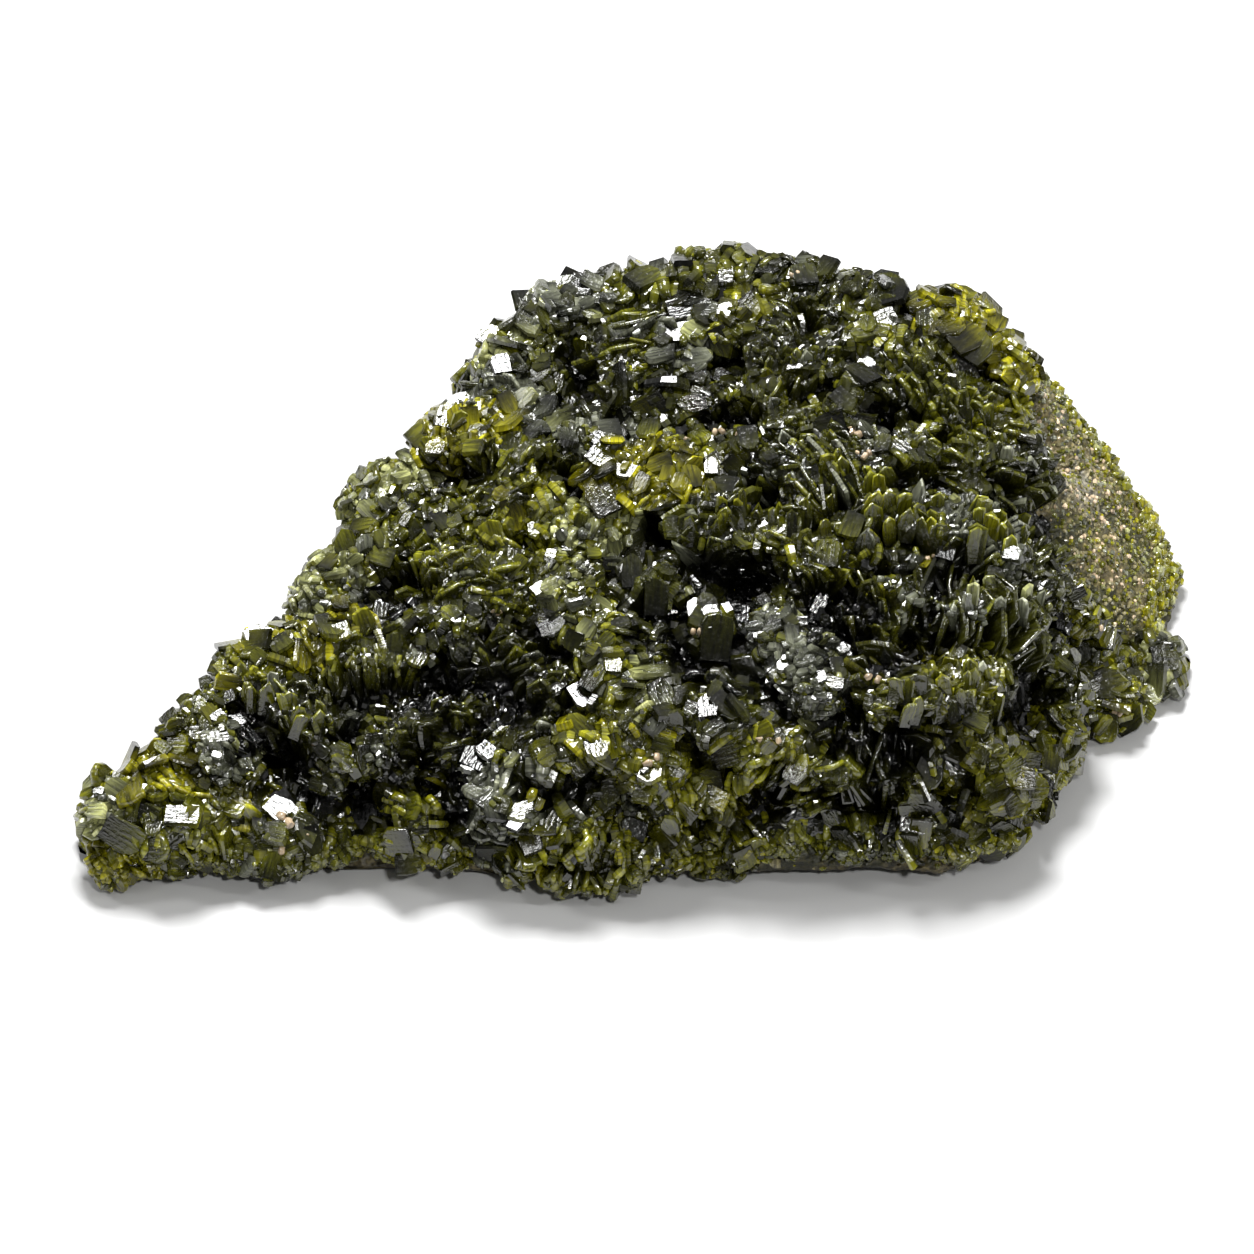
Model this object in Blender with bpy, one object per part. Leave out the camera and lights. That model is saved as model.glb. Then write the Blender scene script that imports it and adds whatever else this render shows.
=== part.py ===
"""An epidote crystal cluster on a plate of host rock, built at its real size.

Frame: +X to the right along the specimen's length, +Y away from the viewer, +Z up.
The origin is on the resting plane, below the middle of the specimen's box.
Lengths are in millimetres, and MM turns them into metres when a mesh is made.
"""

import math
import random

import bmesh
import bpy
from mathutils import Matrix, Vector, noise
from mathutils.geometry import delaunay_2d_cdt

MM = 0.001
SEED = 11

# Driving dimensions of the plate
CENTRE_HEIGHT = 18.7
SLOPE_X = 0.14
SLOPE_Y = 0.25
FALL_START_X = 19.0
FALL_CURVE = 0.030
LEAST_HEIGHT = 3.2
FLANK_START_X = 35.0
FLANK_HEIGHT = 20.0
FLANK_SLOPE = 1.2
SHOULDER = 8.0
LOW_RIM = 0.34
HIGH_RIM = 0.86

# Driving dimensions of the rock
ROCK_SHARE = 0.40
CRUST_DEPTH = 7.0
UNDERCUT = 3.2
BULGE_SHARE = 0.45
ROCK_GRID = 6.5
ROCK_JITTER = 0.9
FIT_GAP = 0.3

# Driving dimensions of the crystal crust
CORE_DEPTH = 2.0
CORE_GRID = 8.5
CORE_SINK = 1.2
SHEAF_SCALE = 1.28
BLADE_REACH = 7.4
ROOT_DEPTH = 5.6
FAN = math.radians(46)
COARSE_BLADE = 4.4
LOWEST_CRYSTAL = 0.8
RIM_SPACING = 10.0
FACES_KEPT = 0.76

# The plate's edge where it is widest, seen from above, from the left tip along the front
EDGE = [
    (-48.0, -23.5), (-44.0, -25.5), (-35.0, -25.0), (-25.0, -24.8), (-15.0, -25.5), (-5.5, -27.2),
    (3.0, -25.2), (12.0, -25.8), (21.0, -25.6), (27.0, -26.2), (32.5, -23.4), (36.0, -18.0),
    (39.0, -11.6), (41.6, -5.6), (44.8, -1.8), (48.0, 1.2), (47.8, 4.5), (49.3, 12.0),
    (46.5, 16.3), (42.5, 19.5), (38.5, 22.6), (34.0, 25.0), (27.0, 26.2), (20.0, 26.4),
    (12.0, 27.2), (5.0, 27.4), (-2.0, 26.5), (-8.0, 25.0), (-13.5, 23.2), (-17.0, 18.5),
    (-20.5, 13.0), (-24.5, 9.0), (-28.5, 2.5), (-32.5, -4.0), (-37.0, -8.5), (-42.0, -14.5),
    (-46.0, -19.5),
]

# Where bare rock shows along the right flank: the crust stops at this line
FLANK_LINE = [(34.0, 27.0), (35.5, 17.0), (37.0, 8.5), (40.5, 4.0), (45.0, 3.2), (51.0, 3.6)]

# Sheaves of blades: x, y, heading of the stack in degrees, length along the stack,
# width of its blades, and rise above the mean surface
BACK_SHEAVES = [
    (-11.5, 21.0, 60, 7, 5, 0.4), (-5.5, 24.0, 0, 7, 5, 2.2), (1.0, 24.5, -20, 7, 5, 1.8),
    (7.0, 25.5, 10, 8, 5, 2.8), (13.5, 24.5, -20, 7, 5, 1.6), (19.5, 23.2, -25, 8, 5, 0.6),
    (28.6, 20.5, -5, 7, 6, 1.0), (4.5, 19.0, 80, 7, 5, 0.0),
    (19.0, 10.8, 60, 7, 5, 0.0), (-0.5, 19.0, -10, 8, 6, 0.2), (-6.5, 18.5, 30, 7, 5, 0.0),
    (14.0, 17.2, 0, 9, 6, 0.9), (21.5, 17.5, -30, 7, 5, 0.0), (-15.0, 11.8, 0, 9, 6, 1.0),
    (-9.5, 13.0, -20, 7, 5, 0.0), (-3.0, 13.6, 15, 8, 5, 0.0), (8.5, 12.8, 30, 7, 5, -0.4),
    (13.0, 11.2, 10, 7, 5, 0.4), (26.5, 14.2, -20, 9, 6, 0.4), (32.2, 12.6, -30, 8, 5, 0.2),
]
LEFT_SHEAVES = [
    (-46.0, -21.5, 60, 6, 6, 0.2), (-46.6, -24.6, 20, 6, 5, -2.6), (-42.5, -19.0, 45, 7, 5, 0.2), (-41.5, -23.6, -15, 7, 5, 0.0),
    (-37.2, -22.5, 50, 8, 5, 0.0), (-38.5, -13.8, 45, 7, 5, 0.2), (-31.0, -23.8, 20, 7, 5, 0.0),
    (-30.5, -15.0, -15, 10, 6, 0.3), (-33.5, -8.5, 40, 8, 6, 0.4), (-27.5, -1.6, 50, 7, 5, 0.5),
    (-25.5, -18.5, 40, 8, 6, 0.2), (-23.0, -11.5, -55, 9, 6, 0.1), (-22.5, 2.0, 30, 7, 5, 0.0),
    (-22.8, 7.6, 25, 7, 6, 0.5), (-20.0, -23.2, 70, 7, 6, 0.3), (-17.5, -7.8, 10, 8, 5, 0.3),
    (-17.0, 3.6, 0, 8, 6, 0.0), (-16.5, -1.8, -10, 8, 6, 0.3),
]
MIDDLE_SHEAVES = [
    (-11.2, 7.6, 20, 7, 6, 0.6), (-9.5, 2.8, 35, 9, 5, 0.6), (-5.2, 1.6, -25, 9, 6, 0.6),
    (-2.8, 9.2, 0, 7, 5, 0.4), (-1.6, 5.0, 70, 6, 6, 0.8), (2.2, 4.6, -30, 8, 7, 1.2),
    (-11.5, -3.0, -35, 8, 6, 0.2), (-6.4, -4.8, -70, 7, 6, 0.6), (-3.4, -11.0, -60, 10, 6, 1.0),
    (-0.6, -16.4, -50, 8, 5, 0.6), (7.4, -0.6, -20, 8, 7, 0.9), (13.4, 5.6, -20, 7, 5, 0.2),
    (14.6, -3.0, -5, 10, 6, 0.4), (17.0, 4.0, 25, 9, 6, 0.6), (2.0, -5.6, -15, 8, 6, -0.4),
    (13.6, -8.8, 10, 8, 5, -1.2), (14.4, -14.2, -62, 11, 6, 0.7),
    (-12.8, -12.2, -40, 8, 6, 0.2), (6.5, -10.6, 20, 7, 6, -0.2), (-8.2, -14.8, 20, 8, 5, -0.3),
    (1.6, -11.0, -50, 7, 5, -0.5),
]
RIGHT_SHEAVES = [
    (22.0, 4.2, 20, 7, 5, 0.2), (28.0, 6.8, -40, 8, 6, 0.3), (33.6, 7.4, 40, 8, 6, 0.5),
    (22.8, -1.4, 0, 8, 7, 0.5), (29.2, -1.8, 0, 9, 7, 0.6), (35.0, -2.2, -15, 7, 6, 0.3),
    (21.8, -9.8, -35, 7, 5, 0.0), (26.8, -9.2, 5, 8, 6, 0.6), (32.4, -8.6, 5, 8, 6, 0.7),
    (37.4, -8.0, -40, 7, 5, 0.4), (42.2, -3.6, -48, 9, 6, 0.6), (46.6, 0.4, -60, 6, 5, 0.7),
    (31.4, -14.2, 10, 8, 5, 0.0), (36.6, -13.4, 50, 8, 6, 0.2), (27.6, -16.8, -10, 8, 6, 0.0),
]
FRONT_SHEAVES = [
    (-13.2, -17.2, 10, 7, 5, -0.6), (-18.4, -17.6, -30, 7, 5, 0.2), (-12.6, -22.6, -25, 7, 6, 0.5),
    (-7.6, -23.0, 5, 7, 6, 0.6), (-3.6, -20.8, 20, 7, 5, 0.4), (1.6, -21.4, 70, 6, 5, 0.7),
    (-4.4, -26.4, 0, 9, 6, 1.2), (6.8, -18.4, -20, 8, 6, 0.2), (5.2, -23.4, 15, 7, 6, 0.2),
    (11.4, -21.8, -50, 8, 6, 0.5), (16.8, -22.6, 0, 8, 6, 0.1), (22.2, -18.0, -30, 7, 6, 0.5),
    (22.6, -22.6, 5, 8, 6, 0.0), (27.8, -21.6, 60, 8, 6, 0.0), (32.6, -19.4, -40, 7, 6, 0.4),
]
SHEAVES = BACK_SHEAVES + LEFT_SHEAVES + MIDDLE_SHEAVES + RIGHT_SHEAVES + FRONT_SHEAVES


def clear_scene():
    for obj in list(bpy.data.objects):
        bpy.data.objects.remove(obj, do_unlink=True)


def smooth(value):
    """0 below 0, 1 above 1, and an even slope between."""
    value = min(1.0, max(0.0, value))
    return value * value * (3.0 - 2.0 * value)


def inside(x, y, outline):
    """True if the point lies in the closed outline."""
    hit = False
    for i, (ax, ay) in enumerate(outline):
        bx, by = outline[(i + 1) % len(outline)]
        if (ay > y) != (by > y) and x < (bx - ax) * (y - ay) / (by - ay) + ax:
            hit = not hit
    return hit


def distance(x, y, line, closed=True):
    """Distance from the point to the outline or, if it isn't closed, to the open line."""
    best = math.inf
    for i in range(len(line) if closed else len(line) - 1):
        ax, ay = line[i]
        bx, by = line[(i + 1) % len(line)]
        ex, ey = bx - ax, by - ay
        t = ((x - ax) * ex + (y - ay) * ey) / (ex * ex + ey * ey)
        t = min(1.0, max(0.0, t))
        best = min(best, math.hypot(x - ax - t * ex, y - ay - t * ey))
    return best


def flank_share(x, y):
    """0 where crystals cover the plate, rising to 1 at the bare right flank."""
    line_x, line_y = zip(*FLANK_LINE)
    beyond = FLANK_LINE + [(60.0, line_y[-1]), (60.0, 40.0), (line_x[0], 40.0)]
    if inside(x, y, beyond):
        return 1.0
    return 1.0 - smooth(distance(x, y, FLANK_LINE, closed=False) / 5.0)


def mean_top(x, y):
    """Height of the plate's mean surface, crystals included, away from its edge."""
    fall = FALL_CURVE * max(0.0, x - FALL_START_X) ** 2
    plateau = CENTRE_HEIGHT + SLOPE_X * x + SLOPE_Y * y - fall
    flank = FLANK_HEIGHT - FLANK_SLOPE * (x - FLANK_START_X)
    return max(LEAST_HEIGHT, min(plateau, flank))


def rim_share(x, y):
    """How high the edge stands: low in front and on the right, and steep at the back and left."""
    behind_front = max(smooth((y + 23.5) / 9.0), smooth((-34.0 - x) / 8.0))
    on_right = smooth((x - 26.0) / 10.0) * (1.0 - smooth((y - 8.0) / 10.0))
    return LOW_RIM + (HIGH_RIM - LOW_RIM) * behind_front * (1.0 - on_right)


def top(x, y):
    """Height of the mean surface, rounded down at the edge."""
    height = mean_top(x, y)
    rim = height * rim_share(x, y)
    depth = distance(x, y, EDGE) if inside(x, y, EDGE) else 0.0
    return rim + (height - rim) * math.sin(math.pi / 2 * min(1.0, depth / SHOULDER))


def rock_top(x, y):
    """Height of the rock: it carries the crust, and comes to the surface on the flank."""
    height = top(x, y)
    under = max(ROCK_SHARE * height, height - CRUST_DEPTH)
    return under + (height - under) * flank_share(x, y)


def surface_normal(x, y, step=1.5):
    """Normal of the mean surface, measured over a few millimetres."""
    slope_x = (top(x + step, y) - top(x - step, y)) / (2 * step)
    slope_y = (top(x, y + step) - top(x, y - step)) / (2 * step)
    return Vector((-slope_x, -slope_y, 1.0)).normalized()


def inset(outline, amount):
    """The outline moved inwards by amount, or outwards if that is negative."""
    moved = []
    for i, here in enumerate(outline):
        before = Vector(outline[i - 1])
        after = Vector(outline[(i + 1) % len(outline)])
        along = (after - before).normalized()
        inward = Vector((-along.y, along.x))
        moved.append(tuple(Vector(here) + inward * amount))
    return moved


def spread(outline, spacing, margin, rng):
    """Points on a shaken triangular grid that lie inside the outline, clear of its edge."""
    found = []
    row = 0
    y = min(p[1] for p in outline)
    while y < max(p[1] for p in outline):
        x = min(p[0] for p in outline) + (spacing / 2 if row % 2 else 0.0)
        while x < max(p[0] for p in outline):
            px = x + rng.uniform(-0.25, 0.25) * spacing
            py = y + rng.uniform(-0.25, 0.25) * spacing
            if inside(px, py, outline) and distance(px, py, outline) > margin:
                found.append((px, py))
            x += spacing
        y += spacing * 0.87
        row += 1
    return found


def cap_of(outline, inner, height):
    """A triangulated surface over the outline: its points with their heights, and its faces."""
    flat = [Vector(p) for p in outline] + [Vector(p) for p in inner]
    count = len(outline)
    edges = [(i, (i + 1) % count) for i in range(count)]
    points, _, faces, *_ = delaunay_2d_cdt(flat, edges, [list(range(count))], 1, 1e-4)
    return [Vector((p.x, p.y, height(p.x, p.y))) for p in points], faces


def mesh_object(name, build):
    """A new object whose mesh build(bm) fills, in millimetres, with its faces turned outwards."""
    bm = bmesh.new()
    build(bm)
    bmesh.ops.triangulate(bm, faces=bm.faces)
    bmesh.ops.recalc_face_normals(bm, faces=bm.faces)
    bmesh.ops.scale(bm, vec=(MM, MM, MM), verts=bm.verts)
    mesh = bpy.data.meshes.new(name)
    bm.to_mesh(mesh)
    bm.free()
    obj = bpy.data.objects.new(name, mesh)
    bpy.context.scene.collection.objects.link(obj)
    return obj


def helper(obj):
    """Marks a cutter or a shape that a Boolean joins, so that it isn't a piece itself."""
    obj.hide_render = True
    obj.display_type = "WIRE"
    return obj


def close_between(bm, lower, upper):
    """Faces that join two rings of as many points."""
    count = len(lower)
    for i in range(count):
        j = (i + 1) % count
        bm.faces.new((lower[i], lower[j], upper[j], upper[i]))


def rock_mesh(bm, grow):
    """The rock plate: a flat foot, an undercut side that bulges, and a rough top."""
    rng = random.Random(SEED)
    upper = inset(EDGE, 0.4)
    foot = inset(EDGE, UNDERCUT)
    inner = spread(upper, ROCK_GRID, ROCK_GRID * 0.45, rng)

    def height(x, y):
        return rock_top(x, y) + ROCK_JITTER * noise.noise(Vector((x, y, 0.0)) * 0.21)

    points, faces = cap_of(upper, inner, height)
    verts = [bm.verts.new(p) for p in points]
    for face in faces:
        bm.faces.new([verts[i] for i in face])
    bulge = []
    for (x, y), rim in zip(EDGE, points):
        wander = 1.0 + 0.35 * noise.noise(Vector((x, y, 9.0)) * 0.3)
        bulge.append(bm.verts.new((x, y, rim.z * BULGE_SHARE * wander)))
    base = [bm.verts.new((x, y, 0.0)) for x, y in foot]
    close_between(bm, bulge, verts[: len(EDGE)])
    close_between(bm, base, bulge)
    bm.faces.new(base[::-1])
    bmesh.ops.triangulate(bm, faces=bm.faces)
    bmesh.ops.recalc_face_normals(bm, faces=bm.faces)
    bm.normal_update()
    moves = [(v, v.normal * grow * v.calc_shell_factor()) for v in bm.verts]
    for vert, move in moves:
        vert.co += move


def crust_outline():
    """The crust's edge: the plate's edge, less the bare flank on the right."""
    rim = inset(EDGE, 0.6)
    bare = [i for i, p in enumerate(rim) if flank_share(*p) > 0.9]
    border = [p for p in FLANK_LINE if inside(*p, EDGE)]
    return rim[: bare[0]] + border[::-1] + rim[bare[-1] + 1 :]


def core_mesh(bm):
    """The crust's core, which the sheaves stand on. It reaches down into the rock's place."""
    rng = random.Random(SEED + 1)
    outline = inset(crust_outline(), 0.8)
    inner = spread(outline, CORE_GRID, CORE_GRID * 0.4, rng)
    points, faces = cap_of(outline, inner, lambda x, y: max(LOWEST_CRYSTAL + 1.0, top(x, y) - CORE_DEPTH))
    upper = [bm.verts.new(p) for p in points]
    floors = [min(p.z - 0.6, rock_top(p.x, p.y) - CORE_SINK) for p in points]
    lower = [bm.verts.new((p.x, p.y, max(LOWEST_CRYSTAL, z))) for p, z in zip(points, floors)]
    for face in faces:
        bm.faces.new([upper[i] for i in face])
        bm.faces.new([lower[i] for i in reversed(face)])
    edge_count = len(outline)
    close_between(bm, lower[:edge_count], upper[:edge_count])


def sheaf_mesh(bm, sheaf, rng):
    """One sheaf: blades fanned along a stack, fused, with a groove between each two."""
    centre, normal, stack, length, width = sheaf
    stack = (stack - normal * stack.dot(normal)).normalized()
    across = normal.cross(stack)
    root = centre - normal * ROOT_DEPTH
    opening = min(FAN, math.asin(min(1.0, length / 2 / BLADE_REACH)))
    travel = length / 2 - BLADE_REACH * math.sin(opening)
    blades = max(2, round(length / COARSE_BLADE))
    lowest = LOWEST_CRYSTAL + rng.uniform(0.1, 0.5)
    rings = []
    for k in range(2 * blades + 1):
        share = k / blades - 1.0
        ridge = k % 2 == 1
        out = normal * math.cos(opening * share) + stack * math.sin(opening * share)
        reach = BLADE_REACH * (rng.uniform(0.98, 1.10) if ridge else rng.uniform(0.80, 0.88))
        half = width / 2 * (rng.uniform(0.95, 1.1) if ridge else 0.85) * (1.0 - 0.22 * share * share)
        start = root + stack * travel * share
        crest = rng.uniform(-0.3, 0.3) * half
        foot = 0.85 * half
        section = [(0.3, -foot), (0.72, -half), (1.0, crest), (0.72, half), (0.3, foot)]
        points = [start + out * reach * r + across * w for r, w in section]
        rings.append([bm.verts.new((p.x, p.y, max(lowest, p.z))) for p in points])
    for first, second in zip(rings, rings[1:]):
        close_between(bm, first, second)
    bm.faces.new(rings[0])
    bm.faces.new(rings[-1][::-1])


def top_sheaves():
    """The sheaves of the lists, standing on the mean surface."""
    for x, y, heading, length, width, rise in SHEAVES:
        normal = (surface_normal(x, y) + Vector((0.0, 0.0, 0.35))).normalized()
        centre = Vector((x, y, top(x, y))) + normal * rise
        turn = math.radians(heading)
        stack = Vector((math.cos(turn), math.sin(turn), 0.0))
        yield centre, normal, stack, length * SHEAF_SCALE, width * SHEAF_SCALE


def rim_sheaves(rng):
    """Sheaves that lean out over the plate's side, all round but for the bare flank."""
    to_next = 0.0
    for i, here in enumerate(EDGE):
        after = Vector(EDGE[(i + 1) % len(EDGE)])
        along = after - Vector(here)
        while to_next < along.length:
            x, y = Vector(here) + along * (to_next / along.length)
            to_next += RIM_SPACING
            if flank_share(x, y) > 0.8:
                continue
            out = Vector((along.y, -along.x, 0.0)).normalized()
            normal = (out + Vector((0.0, 0.0, rng.uniform(0.25, 0.6)))).normalized()
            height = rock_top(x, y) + (top(x, y) - rock_top(x, y)) * rng.uniform(0.45, 0.75)
            stack = Vector((along.x, along.y, rng.uniform(-0.5, 0.5) * along.length)).normalized()
            width = min(8.0, 2.0 + top(x, y) * 0.5)
            yield Vector((x, y, height)) - out * 0.8, normal, stack, RIM_SPACING * 1.1, width
        to_next -= along.length


def keep_largest(bm):
    """Removes the chips that the cut leaves apart from the main body."""
    left = set(bm.verts)
    bodies = []
    while left:
        body, front = set(), [left.pop()]
        while front:
            vert = front.pop()
            body.add(vert)
            for edge in vert.link_edges:
                other = edge.other_vert(vert)
                if other in left:
                    left.remove(other)
                    front.append(other)
        bodies.append(body)
    bodies.sort(key=len)
    for body in bodies[:-1]:
        bmesh.ops.delete(bm, geom=list(body), context="VERTS")


def boolean(obj, operation, target):
    """Adds an exact Boolean against one object or a collection of them."""
    modifier = obj.modifiers.new(operation.title(), "BOOLEAN")
    modifier.operation = operation
    modifier.solver = "EXACT"
    modifier.use_self = True
    if isinstance(target, bpy.types.Collection):
        modifier.operand_type = "COLLECTION"
        modifier.collection = target
    else:
        modifier.object = target
    return modifier


def material(name, colour, roughness):
    made = bpy.data.materials.new(name)
    made.use_nodes = True
    shader = made.node_tree.nodes["Principled BSDF"]
    shader.inputs["Base Color"].default_value = (*colour, 1.0)
    shader.inputs["Roughness"].default_value = roughness
    shader.inputs["Metallic"].default_value = 0.0
    return made


def make_rock():
    rock = mesh_object("matrix_rock", lambda bm: rock_mesh(bm, 0.0))
    rock.data.materials.append(material("host rock", (0.20, 0.19, 0.12), 0.85))
    return rock


def make_crystals():
    """The crust: its core and every sheaf joined, cut to sit on the rock with a small gap."""
    rng = random.Random(SEED + 2)
    blades = bpy.data.collections.new("sheaf helpers")
    bpy.context.scene.collection.children.link(blades)
    sheaves = list(top_sheaves()) + list(rim_sheaves(rng))
    for number, row in enumerate(sheaves):
        sheaf = mesh_object(f"sheaf_{number:03d}", lambda bm, r=row: sheaf_mesh(bm, r, rng))
        bpy.context.scene.collection.objects.unlink(sheaf)
        blades.objects.link(sheaf)
        helper(sheaf)
    seat = helper(mesh_object("rock_clearance", lambda bm: rock_mesh(bm, FIT_GAP)))
    crust = mesh_object("epidote_crystals", core_mesh)
    boolean(crust, "UNION", blades)
    boolean(crust, "DIFFERENCE", seat)
    thin_out = crust.modifiers.new("Merge slivers", "DECIMATE")
    thin_out.ratio = FACES_KEPT
    bpy.context.view_layer.update()
    graph = bpy.context.evaluated_depsgraph_get()
    bm = bmesh.new()
    bm.from_mesh(crust.evaluated_get(graph).to_mesh())
    keep_largest(bm)
    bmesh.ops.triangulate(bm, faces=bm.faces)
    crust.modifiers.clear()
    bm.to_mesh(crust.data)
    bm.free()
    crust.data.materials.append(material("epidote", (0.05, 0.06, 0.015), 0.2))
    return crust


def settle(pieces):
    """Moves the pieces so that the middle of their common box stands over the origin."""
    corners = [v.co for piece in pieces for v in piece.data.vertices]
    middle_x = (min(c.x for c in corners) + max(c.x for c in corners)) / 2
    middle_y = (min(c.y for c in corners) + max(c.y for c in corners)) / 2
    for piece in pieces:
        piece.data.transform(Matrix.Translation((-middle_x, -middle_y, 0.0)))


def main():
    clear_scene()
    settle([make_rock(), make_crystals()])


main()
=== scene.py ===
"""The looks of an epidote crystal cluster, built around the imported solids.

The crystals are thin blades stacked in fanned sheaves. Each sheaf of the part's source is
repeated here with its blades at their real thickness, and finer sheaves, knobs and rock
crumbs fill the space between. Lengths are in millimetres on the plate, as in the source,
and are turned into metres in the frame when a mesh is made.
"""

import math
import random

import bmesh
import bpy
import numpy as np
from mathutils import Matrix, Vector, noise
from mathutils.bvhtree import BVHTree


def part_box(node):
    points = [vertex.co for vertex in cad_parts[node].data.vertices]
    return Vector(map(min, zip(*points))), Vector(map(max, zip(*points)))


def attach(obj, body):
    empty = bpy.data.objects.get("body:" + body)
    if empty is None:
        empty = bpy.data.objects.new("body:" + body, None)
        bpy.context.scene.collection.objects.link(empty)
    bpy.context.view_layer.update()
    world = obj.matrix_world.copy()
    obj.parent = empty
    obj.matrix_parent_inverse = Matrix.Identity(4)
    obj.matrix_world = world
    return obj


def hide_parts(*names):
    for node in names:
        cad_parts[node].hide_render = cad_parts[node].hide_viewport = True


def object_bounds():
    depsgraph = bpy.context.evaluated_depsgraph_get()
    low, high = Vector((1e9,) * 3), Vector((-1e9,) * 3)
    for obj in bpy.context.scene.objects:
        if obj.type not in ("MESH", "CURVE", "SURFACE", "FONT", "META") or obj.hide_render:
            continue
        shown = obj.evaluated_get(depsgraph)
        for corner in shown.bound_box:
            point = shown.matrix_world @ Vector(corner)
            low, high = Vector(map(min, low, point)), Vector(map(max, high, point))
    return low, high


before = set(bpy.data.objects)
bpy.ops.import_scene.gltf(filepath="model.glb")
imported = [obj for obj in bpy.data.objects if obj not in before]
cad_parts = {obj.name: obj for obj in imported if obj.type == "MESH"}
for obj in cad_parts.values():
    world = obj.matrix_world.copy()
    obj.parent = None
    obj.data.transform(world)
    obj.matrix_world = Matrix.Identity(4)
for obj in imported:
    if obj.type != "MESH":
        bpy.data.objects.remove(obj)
cad_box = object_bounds()

MM = 0.001
SEED = 23

# The plate's driving dimensions, as in the part's source
CENTRE_HEIGHT = 18.7
SLOPE_X = 0.14
SLOPE_Y = 0.25
FALL_START_X = 19.0
FALL_CURVE = 0.030
LEAST_HEIGHT = 3.2
FLANK_START_X = 35.0
FLANK_HEIGHT = 20.0
FLANK_SLOPE = 1.2
SHOULDER = 8.0
LOW_RIM = 0.34
HIGH_RIM = 0.86
ROCK_SHARE = 0.40
CRUST_DEPTH = 7.0

# The sheaves' driving dimensions, as in the part's source
SHEAF_SCALE = 1.28
BLADE_REACH = 7.4
ROOT_DEPTH = 5.6
FAN = math.radians(46)
LOWEST_CRYSTAL = 0.8

# The crust's body and the form of its sheaves
BED_VOXEL = 0.48
BED_DEPTH = 0.30
FORM_STEPS = 9
FORM_RISE = -0.40
SIDE_LEAN = 0.18
FOOT_SPREAD = 0.375
FOOT_NARROWING = 0.24

# Where the small crystals stand, and the painted shade that stands for the light reaching them
SCATTER_SPACE = 0.66
SCATTER_TRIES = 42000
NEIGHBOURS = [(i, j, k) for i in (-1, 0, 1) for j in (-1, 0, 1) for k in (-1, 0, 1)]
NEAR_SHEAF = 5.5
CROWN_SHARE = 0.30
SPLIT_X = 3.0
SKY_RAYS = 8
SKY_REACH = 7.0
SHADE_DEEP = 0.07
# Painted glow that lifts yellow, green and pale crystals out of their painted shade
GLOW = 0.62
KNOB_SHARE = 0.12
EDGE_KNOB_SHARE = 0.25

# How likely a crystal has a round rim only, is round all over, or is sharp
FINISH_SHARES = (28, 0, 72)
FAN_FINISHES = (40, 0, 60)
SPOT_FINISHES = (50, 40, 10)
SPOT_CALM = 0.5
LEAST_FACING = -0.35

# Shares of the small crystals that lie flat: on loose, on ordered and on grey sheaves
LYING_SHARE = 0.30
ORDERED_LYING = 0.10
GREY_LYING = 0.36

# Seams between the sheaves and deep crevices: width, depth, and the least light in them, painted into
# the crystals' colour as painted shade
SEAM_WIDTH = 2.0
SEAM_FILL = 1.1
SEAM_PAINTED_SHADE = 0.85
SAME_TONE_SEAM = 0.35
CREVICE_DEPTH = 3.0
CREVICE_PAINTED_SHADE = 0.04
CHUNK = 2000

# How far the crystals reach at the left tip and in front
LEFT_END = -49.8
TIP_VIEW = -17.6
TIP_CURVE = 0.035
TIP_REACH = 3.5
FRONT_END = -28.6

# A face this way mirrors the key light to the viewer, who looks 45 degrees down along +Y
GLINT = (-0.04, -0.15, 0.988)
VIEW_SQUASH = math.sqrt(0.5)
LOOKING = np.array((0.0, 1.0, -1.0)) * VIEW_SQUASH
RAY_START = 60.0

EDGE = [
    (-48, -23.5), (-44, -25.5), (-35, -25), (-25, -24.8), (-15, -25.5), (-5.5, -27.2), (3, -25.2),
    (12, -25.8), (21, -25.6), (27, -26.2), (32.5, -23.4), (36, -18), (39, -11.6), (41.6, -5.6),
    (44.8, -1.8), (48, 1.2), (47.8, 4.5), (49.3, 12), (46.5, 16.3), (42.5, 19.5), (38.5, 22.6),
    (34, 25), (27, 26.2), (20, 26.4), (12, 27.2), (5, 27.4), (-2, 26.5), (-8, 25), (-13.5, 23.2),
    (-17, 18.5), (-20.5, 13), (-24.5, 9), (-28.5, 2.5), (-32.5, -4), (-37, -8.5), (-42, -14.5),
    (-46, -19.5),
]

# The host rock, and the line from which it lies bare
ROCK_VOXEL = 0.42
CRUMBS = 6400
RIM_TONES = ("olive", "green", "yellow", "yellow", "pale")
FLANK_TONES = ("olive", "grey", "sand", "sand", "olive", "sand", "tan")
WALL_TONES = ("dark", "olive", "olive", "green", "grey", "sand", "sand")
ROCK_OLIVE = (0.050, 0.049, 0.012)
ROCK_TAN = (0.235, 0.190, 0.082)
ROCK_GREEN = (0.120, 0.116, 0.010)
ROCK_WHITE = (0.500, 0.470, 0.400)
FLANK_LINE = [(34.0, 27.0), (35.5, 17.0), (37.0, 8.5), (40.5, 4.0), (45.0, 3.2), (51.0, 3.6)]
FLANK_FADE = 5.0
FRONT_LINE = [EDGE[-1]] + EDGE[:15]
APRON_DENSITY = 14.0

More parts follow.
